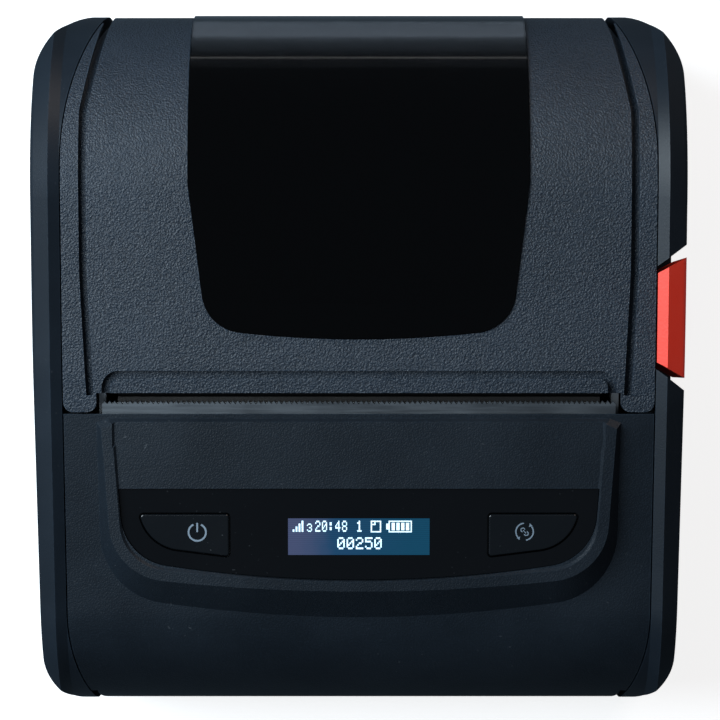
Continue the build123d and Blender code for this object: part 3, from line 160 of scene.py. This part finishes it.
def noise(tree, place, scale, detail=2.0, roughness=0.5, distortion=0.0):
    """A Noise Texture's value; the scale input may be a socket or a number."""
    node = tree.nodes.new("ShaderNodeTexNoise")
    node.inputs["Detail"].default_value = detail
    node.inputs["Roughness"].default_value = roughness
    node.inputs["Distortion"].default_value = distortion
    if isinstance(scale, (int, float)):
        node.inputs["Scale"].default_value = scale
    else:
        tree.links.new(scale, node.inputs["Scale"])
    tree.links.new(place, node.inputs["Vector"])
    return node.outputs["Fac"]


def build_grain():
    """Moulded grain: pebbles of one size with noise on them, as height and as a mask of their tops."""
    group, inputs, outputs = new_group(
        "moulded grain", [("Scale", 1500.0), ("Fine Share", 0.3)], ["Height", "Tops"]
    )
    place = pattern_place(group)
    pebbles = group.nodes.new("ShaderNodeTexVoronoi")
    pebbles.feature = "SMOOTH_F1"
    pebbles.inputs["Smoothness"].default_value = 0.6
    group.links.new(inputs.outputs["Scale"], pebbles.inputs["Scale"])
    group.links.new(place, pebbles.inputs["Vector"])
    domes = ramp_between(group, pebbles.outputs["Distance"], 0.8, 0.1, 0.0, 0.55)
    fine = noise(group, place, inputs.outputs["Scale"], 3.0, 0.6, 0.7)
    fine_part = calculate(group, "MULTIPLY", fine, inputs.outputs["Fine Share"])
    height = calculate(group, "ADD", domes, fine_part)
    group.links.new(height, outputs.inputs["Height"])
    group.links.new(ramp_between(group, height, 0.55, 0.95), outputs.inputs["Tops"])
    return group


def build_handling():
    """Slow variation over a surface from handling and moulding, and small scattered dust specks."""
    group, inputs, outputs = new_group(
        "handling", [("Patch Scale", 60.0), ("Dust Scale", 900.0), ("Dust Amount", 0.5)], ["Patches", "Dust"]
    )
    place = pattern_place(group)
    patches = noise(group, place, inputs.outputs["Patch Scale"], 4.0, 0.55)
    group.links.new(ramp_between(group, patches, 0.35, 0.7), outputs.inputs["Patches"])
    specks = noise(group, place, inputs.outputs["Dust Scale"], 1.0)
    field = noise(group, place, inputs.outputs["Patch Scale"], 2.0)
    speck_mask = ramp_between(group, specks, 0.72, 0.8)
    field_mask = ramp_between(group, field, 0.45, 0.7)
    both = calculate(group, "MULTIPLY", speck_mask, field_mask)
    group.links.new(
        calculate(group, "MULTIPLY", both, inputs.outputs["Dust Amount"]), outputs.inputs["Dust"]
    )
    return group


def build_edge_highlight_and_polish():
    """A mask that is high on outer edges, from the difference between the bevelled and the true normal; the
    plastics paint a highlight of their light colour with it, and the grained plastics also polish their edges
    with it.
    """
    group, inputs, outputs = new_group("edge highlight and polish", [("Width", 0.0004), ("Breakup Scale", 700.0)], ["Edges"])
    bevel = group.nodes.new("ShaderNodeBevel")
    bevel.samples = 4
    group.links.new(inputs.outputs["Width"], bevel.inputs["Radius"])
    geometry = group.nodes.new("ShaderNodeNewGeometry")
    dot = group.nodes.new("ShaderNodeVectorMath")
    dot.operation = "DOT_PRODUCT"
    group.links.new(bevel.outputs["Normal"], dot.inputs[0])
    group.links.new(geometry.outputs["Normal"], dot.inputs[1])
    turned = ramp_between(group, dot.outputs["Value"], 0.98, 0.8)
    breakup = noise(group, pattern_place(group), inputs.outputs["Breakup Scale"], 3.0)
    uneven = ramp_between(group, breakup, 0.3, 0.7)
    group.links.new(calculate(group, "MULTIPLY", turned, uneven), outputs.inputs["Edges"])
    return group


def build_brushing():
    """Fine parallel lines left by rolling or grinding, along X."""
    group, inputs, outputs = new_group("brushing", [("Line Scale", 2600.0)], ["Lines"])
    place = pattern_place(group, (0.03, 1.0, 1.0))
    lines = noise(group, place, inputs.outputs["Line Scale"], 3.0, 0.6)
    group.links.new(ramp_between(group, lines, 0.3, 0.7), outputs.inputs["Lines"])
    return group


grain = build_grain()
handling = build_handling()
edge_highlight_and_polish = build_edge_highlight_and_polish()
brushing = build_brushing()


class Finish:
    """One material under construction: a Principled BSDF with named building blocks joined to it."""

    def __init__(self, name, colour, roughness, metallic=0.0, specular=0.5):
        self.material = bpy.data.materials.new(name)
        self.material.use_nodes = True
        self.tree = self.material.node_tree
        self.shader = self.tree.nodes["Principled BSDF"]
        self.shader.inputs["Base Color"].default_value = colour
        self.shader.inputs["Roughness"].default_value = roughness
        self.shader.inputs["Metallic"].default_value = metallic
        self.shader.inputs["Specular IOR Level"].default_value = specular
        self.colour = None
        self.start_colour = colour
        self.roughness = None
        self.start_roughness = roughness

    def place(self, group, **values):
        """One building block with its own values."""
        node = self.tree.nodes.new("ShaderNodeGroup")
        node.node_tree = group
        for name, value in values.items():
            node.inputs[name.replace("_", " ")].default_value = value
        return node

    def tint(self, mask, colour, most=1.0):
        """Mixes a colour in where the mask is high."""
        share = calculate(self.tree, "MULTIPLY", mask, most)
        mix = self.tree.nodes.new("ShaderNodeMix")
        mix.data_type = "RGBA"
        self.tree.links.new(share, mix.inputs["Factor"])
        if self.colour is None:
            mix.inputs[mix_first].default_value = self.start_colour
        else:
            self.tree.links.new(self.colour, mix.inputs[mix_first])
        mix.inputs[mix_second].default_value = colour
        self.colour = mix.outputs[mix_result]
        self.tree.links.new(self.colour, self.shader.inputs["Base Color"])

    def rough(self, mask, change):
        """Adds a change to the roughness where the mask is high."""
        step = calculate(self.tree, "MULTIPLY", mask, change)
        base = self.start_roughness if self.roughness is None else self.roughness
        self.roughness = calculate(self.tree, "ADD", step, base)
        self.tree.links.new(self.roughness, self.shader.inputs["Roughness"])

    def relief(self, height, depth, strength=1.0):
        """Raises the surface by a height pattern, its full depth given in metres."""
        bump = self.tree.nodes.new("ShaderNodeBump")
        bump.inputs["Distance"].default_value = depth
        bump.inputs["Strength"].default_value = strength
        self.tree.links.new(height, bump.inputs["Height"])
        before = self.shader.inputs["Normal"].links
        if before:
            self.tree.links.new(before[0].from_socket, bump.inputs["Normal"])
        self.tree.links.new(bump.outputs["Normal"], self.shader.inputs["Normal"])


def moulded_plastic(name, colour, light, roughness, grain_scale, grain_depth, fine_share=0.3, specular=0.5):
    """Injection moulded plastic with a grained skin, polished a little at its edges, with a painted highlight
    of the light colour on its grain tops and along its edges.
    """
    finish = Finish(name, colour, roughness, specular=specular)
    skin = finish.place(grain, Scale=grain_scale, Fine_Share=fine_share)
    use = finish.place(handling, Patch_Scale=45.0, Dust_Scale=1500.0, Dust_Amount=0.35)
    edges = finish.place(edge_highlight_and_polish, Width=0.0005)
    # Painted highlight: the grain tops take the light colour as sparkle.
    finish.tint(skin.outputs["Tops"], light, 0.16)
    finish.tint(use.outputs["Patches"], light, 0.1)
    # Painted highlight: the edges take the light colour.
    finish.tint(edges.outputs["Edges"], light, 0.35)
    finish.tint(use.outputs["Dust"], linear(*dust_colour), 0.3)
    finish.rough(skin.outputs["Tops"], -0.06)
    finish.rough(use.outputs["Patches"], 0.05)
    finish.rough(edges.outputs["Edges"], -0.1)
    finish.relief(skin.outputs["Height"], grain_depth)
    return finish.material


def smooth_plastic(name, colour, roughness, light, specular=0.5, patches=0.15):
    """Plain moulded plastic with a faint orange peel, handling marks and a painted highlight of the light
    colour along its edges.
    """
    finish = Finish(name, colour, roughness, specular=specular)
    use = finish.place(handling, Patch_Scale=70.0, Dust_Scale=1300.0, Dust_Amount=0.3)
    skin = finish.place(grain, Scale=2600.0, Fine_Share=0.5)
    edges = finish.place(edge_highlight_and_polish, Width=0.0003)
    finish.tint(use.outputs["Patches"], light, patches)
    # Painted highlight: the edges take the light colour.
    finish.tint(edges.outputs["Edges"], light, 0.3)
    finish.rough(use.outputs["Patches"], 0.06)
    finish.rough(use.outputs["Dust"], 0.2)
    finish.relief(skin.outputs["Height"], orange_peel_depth)
    return finish.material


def polished_plastic(name, colour, roughness, coat=0.6):
    """Glossy plastic with fine dust and faint wiping smears."""
    finish = Finish(name, colour, roughness)
    finish.shader.inputs["Coat Weight"].default_value = coat
    finish.shader.inputs["Coat Roughness"].default_value = 0.04
    use = finish.place(handling, Patch_Scale=55.0, Dust_Scale=1700.0, Dust_Amount=0.6)
    finish.tint(use.outputs["Dust"], linear(*gloss_dust_colour), 0.25)
    finish.rough(use.outputs["Patches"], 0.05)
    finish.rough(use.outputs["Dust"], 0.3)
    return finish.material


def metal(name, colour, roughness, line_scale=2600.0, line_depth=0.000004, lines=0.12):
    """Rolled, drawn or ground metal with its lines and small stains."""
    finish = Finish(name, colour, roughness, metallic=1.0)
    marks = finish.place(brushing, Line_Scale=line_scale)
    use = finish.place(handling, Patch_Scale=120.0, Dust_Scale=1500.0, Dust_Amount=0.3)
    dull = (colour[0] * 0.7, colour[1] * 0.7, colour[2] * 0.7, 1.0)
    finish.tint(use.outputs["Patches"], dull, 0.35)
    finish.rough(marks.outputs["Lines"], lines)
    finish.rough(use.outputs["Patches"], 0.08)
    finish.relief(marks.outputs["Lines"], line_depth)
    return finish.material


def smoked_glazing(name):
    """Tinted clear plastic, nearly black, with faint smears."""
    finish = Finish(name, (0.045, 0.052, 0.062, 1.0), 0.05)
    finish.shader.inputs["Transmission Weight"].default_value = 1.0
    finish.shader.inputs["IOR"].default_value = 1.49
    use = finish.place(handling, Patch_Scale=28.0, Dust_Scale=1500.0, Dust_Amount=0.5)
    finish.rough(use.outputs["Patches"], 0.03)
    finish.rough(use.outputs["Dust"], 0.3)
    return finish.material


def lit_display(name):
    """The display's glowing field, violet at its left end and teal at its right, with fine pixel rows."""
    finish = Finish(name, linear(10, 16, 26), 0.12)
    tree = finish.tree
    finish.shader.inputs["Coat Weight"].default_value = 0.5
    place = pattern_place(tree)
    split = tree.nodes.new("ShaderNodeSeparateXYZ")
    tree.links.new(place, split.inputs["Vector"])
    cloud = noise(tree, place, 230.0, 2.0)
    drift = calculate(tree, "MULTIPLY", calculate(tree, "SUBTRACT", cloud, 0.5), 0.006)
    along = calculate(tree, "ADD", split.outputs["X"], drift)
    share = ramp_between(tree, along, -0.0119, 0.0119)
    ramp = tree.nodes.new("ShaderNodeValToRGB")
    stops = ramp.color_ramp.elements
    stops[0].color = linear(74, 84, 118)
    stops[1].color = linear(10, 72, 100)
    middle = stops.new(0.28)
    middle.color = linear(26, 72, 108)
    tree.links.new(share, ramp.inputs["Fac"])
    rows = tree.nodes.new("ShaderNodeTexWave")
    rows.bands_direction = "Y"
    rows.inputs["Scale"].default_value = 900.0
    tree.links.new(place, rows.inputs["Vector"])
    dim = tree.nodes.new("ShaderNodeMix")
    dim.data_type = "RGBA"
    dim.blend_type = "MULTIPLY"
    tree.links.new(ramp_between(tree, rows.outputs["Fac"], 0.0, 1.0, 0.0, 0.25), dim.inputs["Factor"])
    tree.links.new(ramp.outputs["Color"], dim.inputs[mix_first])
    dim.inputs[mix_second].default_value = (0.3, 0.3, 0.35, 1.0)
    tree.links.new(dim.outputs[mix_result], finish.shader.inputs["Emission Color"])
    finish.shader.inputs["Emission Strength"].default_value = 0.9
    return finish.material


def glowing_pixels(name):
    """The display's lit pixels, uneven by a little."""
    finish = Finish(name, linear(190, 225, 240), 0.4)
    cloud = noise(finish.tree, pattern_place(finish.tree), 1500.0, 2.0)
    mix = finish.tree.nodes.new("ShaderNodeMix")
    mix.data_type = "RGBA"
    finish.tree.links.new(ramp_between(finish.tree, cloud, 0.3, 0.7), mix.inputs["Factor"])
    mix.inputs[mix_first].default_value = linear(186, 224, 240)
    mix.inputs[mix_second].default_value = linear(232, 246, 250)
    finish.tree.links.new(mix.outputs[mix_result], finish.shader.inputs["Emission Color"])
    finish.shader.inputs["Emission Strength"].default_value = 0.85
    return finish.material


def circuit_board(name):
    """Green solder mask over copper tracks."""
    finish = Finish(name, (0.012, 0.11, 0.045, 1.0), 0.3)
    place = pattern_place(finish.tree)
    tracks = finish.tree.nodes.new("ShaderNodeTexBrick")
    tracks.inputs["Scale"].default_value = 380.0
    tracks.inputs["Mortar Size"].default_value = 0.03
    finish.tree.links.new(place, tracks.inputs["Vector"])
    finish.tint(tracks.outputs["Fac"], (0.03, 0.2, 0.09, 1.0), 0.8)
    finish.relief(tracks.outputs["Fac"], 0.00002)
    return finish.material


# The lighter of each plastic's two colours is its painted highlight on grain tops and edges, and also the
# tone of its uneven patches.
materials = {
    "cover_plastic": moulded_plastic(
        "grained cover plastic", linear(22, 30, 39), linear(62, 76, 92), roughness=0.44,
        grain_scale=3000.0, grain_depth=0.00014, fine_share=1.3, specular=0.4,
    ),
    "casing_plastic": moulded_plastic(
        "satin casing plastic", linear(15, 22, 29), linear(48, 60, 72), roughness=0.45,
        grain_scale=3600.0, grain_depth=0.00004, fine_share=0.6, specular=0.25,
    ),
    "bumper_rubber": moulded_plastic(
        "bumper rubber", linear(16, 24, 32), linear(46, 59, 73), roughness=0.45,
        grain_scale=3400.0, grain_depth=0.000012, fine_share=0.4, specular=0.28,
    ),
    "smoked_window": smoked_glazing("smoked window"),
    "panel_gloss": polished_plastic("glossy panel", linear(6, 8, 11), 0.12, 0.3),
    "key_gloss": polished_plastic("glossy keys", linear(9, 13, 17), 0.2, 0.3),
    "display": lit_display("lit display"),
    "button_orange": smooth_plastic("orange button", linear(250, 58, 34), 0.42, linear(250, 80, 56)),
    "inner_plastic": smooth_plastic("inner plastic", linear(40, 43, 47), 0.45, linear(70, 74, 80)),
    "gear_plastic": smooth_plastic("gear plastic", linear(226, 223, 212), 0.4, linear(200, 196, 184)),
    "bushing_plastic": smooth_plastic("bushing plastic", linear(28, 29, 31), 0.4, linear(60, 62, 66)),
    "blade_steel": metal("tear bar steel", linear(120, 126, 132), 0.36),
    "bright_steel": metal("plated steel", linear(190, 193, 196), 0.28),
    "spring_steel": metal("spring wire", linear(168, 170, 174), 0.25),
    "platen_rubber": moulded_plastic(
        "platen rubber", linear(24, 24, 26), linear(52, 52, 55), roughness=0.7,
        grain_scale=3600.0, grain_depth=0.00002, fine_share=0.5, specular=0.3,
    ),
    "head_ceramic": smooth_plastic("glazed ceramic", linear(38, 36, 35), 0.22, linear(70, 64, 58)),
    "aluminium": metal("extruded aluminium", linear(196, 199, 203), 0.34, 1900.0),
    "motor_can": metal("plated can", linear(170, 172, 176), 0.32, 3200.0),
    "board_green": circuit_board("circuit board"),
    "component_black": smooth_plastic("component black", linear(24, 24, 26), 0.5, linear(60, 60, 64)),
    "battery_shell": moulded_plastic(
        "battery shell", linear(34, 37, 41), linear(66, 70, 76), roughness=0.5,
        grain_scale=2600.0, grain_depth=0.00004,
    ),
    "foot_rubber": moulded_plastic(
        "foot rubber", linear(30, 31, 33), linear(62, 64, 68), roughness=0.75,
        grain_scale=2400.0, grain_depth=0.00004, fine_share=0.4, specular=0.3,
    ),
    "sensor_dark": polished_plastic("dark sensor lens", linear(34, 10, 34), 0.1),
}
key_print = smooth_plastic("key print", linear(112, 128, 142), 0.45, linear(140, 150, 160))
pixel_light = glowing_pixels("lit pixels")


def dress_frame():
    """Gives every node of the frame the material of its slot."""
    for part in frame["record"]["subparts"]:
        node = frame["nodes"][part["node"]]
        node.data.materials.clear()
        node.data.materials.append(materials[part["material_slot"]])


dress_frame()


# Detail pieces that lie on the sloping control faces
def control_face(depth):
    """Places flat work, drawn in millimetres, on the control face lowered by a depth."""
    turn = Matrix.Rotation(control_slope, 4, "X")
    lowered = platform_rear + Vector((0.0, math.sin(control_slope), -math.cos(control_slope))) * depth
    return Matrix.Scale(MM, 4) @ Matrix.Translation(lowered) @ turn


def up_the_face(y):
    """Distance along the sloping face of a point that stands at this Y when seen from above."""
    return (y - platform_rear.y) / math.cos(control_slope)


def finish_piece(shape, name, material, body, depth):
    """Turns flat work into a piece that lies on the control face and rides on a body."""
    bmesh.ops.recalc_face_normals(shape, faces=shape.faces)
    bmesh.ops.transform(shape, matrix=control_face(depth), verts=shape.verts)
    mesh = bpy.data.meshes.new(name)
    shape.to_mesh(mesh)
    shape.free()
    mesh.materials.append(material)
    piece = bpy.data.objects.new(name, mesh)
    bpy.context.scene.collection.objects.link(piece)
    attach(piece, body)
    return piece


def add_arc(shape, middle, radius, width, start, end, steps=28):
    """A flat printed arc, from one angle to another in degrees, spun from one short edge."""
    inner = shape.verts.new((middle[0] + radius - width / 2, middle[1], 0.0))
    outer = shape.verts.new((middle[0] + radius + width / 2, middle[1], 0.0))
    edge = shape.edges.new((inner, outer))
    centre = Vector((middle[0], middle[1], 0.0))
    bmesh.ops.rotate(
        shape, verts=[inner, outer], cent=centre, matrix=Matrix.Rotation(math.radians(start), 3, "Z")
    )
    bmesh.ops.spin(
        shape, geom=[inner, outer, edge], cent=centre, axis=(0, 0, 1), angle=math.radians(end - start),
        steps=steps,
    )


def add_bar(shape, low, high, turn=0.0):
    """A flat rectangle between two corners, turned about its middle by an angle in degrees."""
    middle = Vector(((low[0] + high[0]) / 2, (low[1] + high[1]) / 2, 0.0))
    sized = Matrix.Diagonal((high[0] - low[0], high[1] - low[1], 1.0, 1.0))
    place = Matrix.Translation(middle) @ Matrix.Rotation(math.radians(turn), 4, "Z") @ sized
    bmesh.ops.create_grid(shape, x_segments=1, y_segments=1, size=0.5, matrix=place)


def add_tip(shape, point, size, turn):
    """A flat arrow tip that points along an angle in degrees."""
    place = Matrix.Translation((point[0], point[1], 0.0)) @ Matrix.Rotation(math.radians(turn), 4, "Z")
    bmesh.ops.create_circle(shape, cap_ends=True, segments=3, radius=size, matrix=place)


def thicken(shape, thickness):
    """Gives flat work a thickness, upwards from its face."""
    bmesh.ops.remove_doubles(shape, verts=shape.verts, dist=0.001)
    faces = bmesh.ops.extrude_face_region(shape, geom=shape.faces[:])["geom"]
    raised = [item for item in faces if isinstance(item, bmesh.types.BMVert)]
    bmesh.ops.translate(shape, verts=raised, vec=(0.0, 0.0, thickness))


def make_power_mark():
    """A broken ring with a stroke through its gap."""
    shape = bmesh.new()
    middle = (power_mark[0], up_the_face(power_mark[1]))
    add_arc(shape, middle, mark_ring_radius, power_ring_width, power_ring_gap[1], 360 + power_ring_gap[0])
    add_bar(
        shape,
        (middle[0] - power_stroke_half, middle[1] + power_stroke[0]),
        (middle[0] + power_stroke_half, middle[1] + power_stroke[1]),
    )
    thicken(shape, mark_thickness)
    return finish_piece(shape, "power_mark", key_print, "power_key", key_face_depth)


def make_feed_mark():
    """Two arrows round a pair of joined links."""
    shape = bmesh.new()
    middle = (feed_mark[0], up_the_face(feed_mark[1]))
    for start, end in ((95, 218), (-80, 38)):
        add_arc(shape, middle, mark_ring_radius, feed_ring_width, start, end, 16)
        tip_angle = end + feed_tip_lead
        radians = math.radians(tip_angle)
        reach = (mark_ring_radius * math.cos(radians), mark_ring_radius * math.sin(radians))
        add_tip(shape, (middle[0] + reach[0], middle[1] + reach[1]), feed_tip_size, tip_angle + 90)
    for side, open_towards in ((-1, 315), (1, 135)):
        link = (middle[0] - side * link_offset[0], middle[1] + side * link_offset[1])
        turn = (open_towards - link_half_turn, open_towards + link_half_turn)
        add_arc(shape, link, link_radius, link_width, turn[0], turn[1], 14)
    add_bar(
        shape,
        (middle[0] - link_bar_half[0], middle[1] - link_bar_half[1]),
        (middle[0] + link_bar_half[0], middle[1] + link_bar_half[1]),
        link_bar_turn,
    )
    thicken(shape, mark_thickness)
    return finish_piece(shape, "feed_mark", key_print, "feed_key", key_face_depth)


# Digits of the display, five dots wide and seven high, row by row from the top
digit_dots = {
    "0": ("01110", "10001", "10011", "10101", "11001", "10001", "01110"),
    "1": ("00100", "01100", "00100", "00100", "00100", "00100", "01110"),
    "2": ("01110", "10001", "00001", "00110", "01000", "10000", "11111"),
    "3": ("01110", "10001", "00001", "00110", "00001", "10001", "01110"),
    "4": ("00010", "00110", "01010", "10010", "11111", "00010", "00010"),
    "5": ("11111", "10000", "11110", "00001", "00001", "10001", "01110"),
    "8": ("01110", "10001", "10001", "01110", "10001", "10001", "01110"),
    ":": ("00000", "01100", "01100", "00000", "01100", "01100", "00000"),
}


def add_digits(shape, text, left, top, dot_width, dot_height, pitch):
    """Writes digits as rows of lit dots, from a top left corner."""
    for index, letter in enumerate(text):
        for row, dots in enumerate(digit_dots.get(letter, ())):
            for column, dot in enumerate(dots):
                if dot == "1":
                    low_x = left + index * pitch + column * dot_width
                    high_y = top - row * dot_height
                    high_x = low_x + dot_width * dot_fill
                    add_bar(shape, (low_x, high_y - dot_height), (high_x, high_y))


def add_frame(shape, low, high, line):
    """An open rectangle drawn with four bars."""
    add_bar(shape, (low[0], low[1]), (high[0], low[1] + line))
    add_bar(shape, (low[0], high[1] - line), (high[0], high[1]))
    add_bar(shape, (low[0], low[1] + line), (low[0] + line, high[1] - line))
    add_bar(shape, (high[0] - line, low[1] + line), (high[0], high[1] - line))


def make_display_marks():
    """The lit marks: signal bars, numbers, a sheet outline and a full battery."""
    shape = bmesh.new()
    top = up_the_face(display_middle_y) + display_text_rise
    for bar in range(4):
        low_x = -11.1 + bar * 0.5
        add_bar(shape, (low_x, top - 1.9), (low_x + 0.3, top - 1.9 + 0.4 + 0.5 * bar))
    add_digits(shape, "3", -8.7, top - 0.5, 0.17, 0.2, 1.0)
    add_digits(shape, "20:48", -7.3, top, 0.17, 0.27, 1.12)
    add_digits(shape, "1", -0.5, top, 0.24, 0.27, 1.4)
    add_frame(shape, (2.0, top - 2.0), (3.75, top), 0.22)
    add_bar(shape, (2.2, top - 0.75), (2.8, top - 0.53))
    add_bar(shape, (2.6, top - 0.6), (2.8, top - 0.1))
    add_frame(shape, (5.0, top - 2.0), (8.9, top), 0.2)
    add_bar(shape, (4.6, top - 1.5), (5.0, top - 0.5))
    for bar in range(4):
        low_x = 5.5 + bar * 0.8
        add_bar(shape, (low_x, top - 1.65), (low_x + 0.55, top - 0.35))
    add_digits(shape, "00250", -3.6, top - 2.85, 0.25, 0.29, 1.55)
    thicken(shape, mark_thickness)
    return finish_piece(shape, "display_marks", pixel_light, "base", display_depth)


make_power_mark()
make_feed_mark()
make_display_marks()


# Table, light and camera
def make_table():
    """The pale table, which shows near white and keeps the printer's shadow."""
    shape = bmesh.new()
    bmesh.ops.create_grid(shape, x_segments=4, y_segments=4, size=table_half)
    mesh = bpy.data.meshes.new("table")
    shape.to_mesh(mesh)
    shape.free()
    table = bpy.data.objects.new("table", mesh)
    bpy.context.scene.collection.objects.link(table)
    finish = Finish("pale table", table_shade, table_roughness, specular=0.1)
    tree = finish.tree
    path = tree.nodes.new("ShaderNodeLightPath")
    seen = calculate(tree, "ADD", path.outputs["Is Camera Ray"], path.outputs["Is Glossy Ray"])
    seen = calculate(tree, "ADD", seen, path.outputs["Is Transmission Ray"])
    seen = calculate(tree, "MINIMUM", seen, 1.0)
    glow = calculate(tree, "MULTIPLY", seen, table_glow)
    finish.shader.inputs["Emission Color"].default_value = (1.0, 1.0, 1.0, 1.0)
    tree.links.new(glow, finish.shader.inputs["Emission Strength"])
    mesh.materials.append(finish.material)


def make_dark_card():
    """A dark card over the table, met only by reflections, so that the steep sides don't mirror the white."""
    shape = bmesh.new()
    bmesh.ops.create_grid(shape, x_segments=2, y_segments=2, size=card_half)
    bmesh.ops.translate(shape, verts=shape.verts, vec=(0.0, 0.0, card_height))
    mesh = bpy.data.meshes.new("dark_card")
    shape.to_mesh(mesh)
    shape.free()
    card = bpy.data.objects.new("dark_card", mesh)
    bpy.context.scene.collection.objects.link(card)
    card.visible_camera = False
    card.visible_diffuse = False
    card.visible_shadow = False
    card.visible_transmission = False
    mesh.materials.append(Finish("dark card", card_shade, 1.0, specular=0.0).material)


def make_lamp(name, place, aim, size, power, colour):
    """A soft rectangular lamp that points at a place and isn't itself seen."""
    data = bpy.data.lights.new(name, "AREA")
    data.shape = "RECTANGLE"
    data.size = size[0]
    data.size_y = size[1]
    data.energy = power
    data.color = colour
    lamp = bpy.data.objects.new(name, data)
    lamp.location = place
    lamp.rotation_mode = "QUATERNION"
    lamp.rotation_quaternion = (Vector(aim) - Vector(place)).to_track_quat("-Z", "Y")
    lamp.visible_camera = False
    bpy.context.scene.collection.objects.link(lamp)


def make_room():
    """Even dim light from all round."""
    world = bpy.data.worlds.new("room")
    world.use_nodes = True
    background = world.node_tree.nodes["Background"]
    background.inputs["Color"].default_value = room_light
    background.inputs["Strength"].default_value = room_strength
    bpy.context.scene.world = world


def make_camera():
    """The camera looks straight down on the printer, its top of picture towards the hinge."""
    data = bpy.data.cameras.new("camera")
    data.lens = camera_lens
    data.sensor_width = camera_sensor
    data.clip_start = 0.01
    data.clip_end = 50.0
    camera = bpy.data.objects.new("camera", data)
    camera.location = (camera_aim[0], camera_aim[1], camera_height)
    bpy.context.scene.collection.objects.link(camera)
    bpy.context.scene.camera = camera


make_table()
make_dark_card()
make_room()
make_lamp(
    "window light", window_light_place, window_light_aim, window_light_size, window_light_power,
    window_light_colour,
)
make_lamp(
    "warm light", warm_light_place, warm_light_aim, warm_light_size, warm_light_power, warm_light_colour
)
make_camera()
bpy.context.scene.view_settings.view_transform = "Standard"
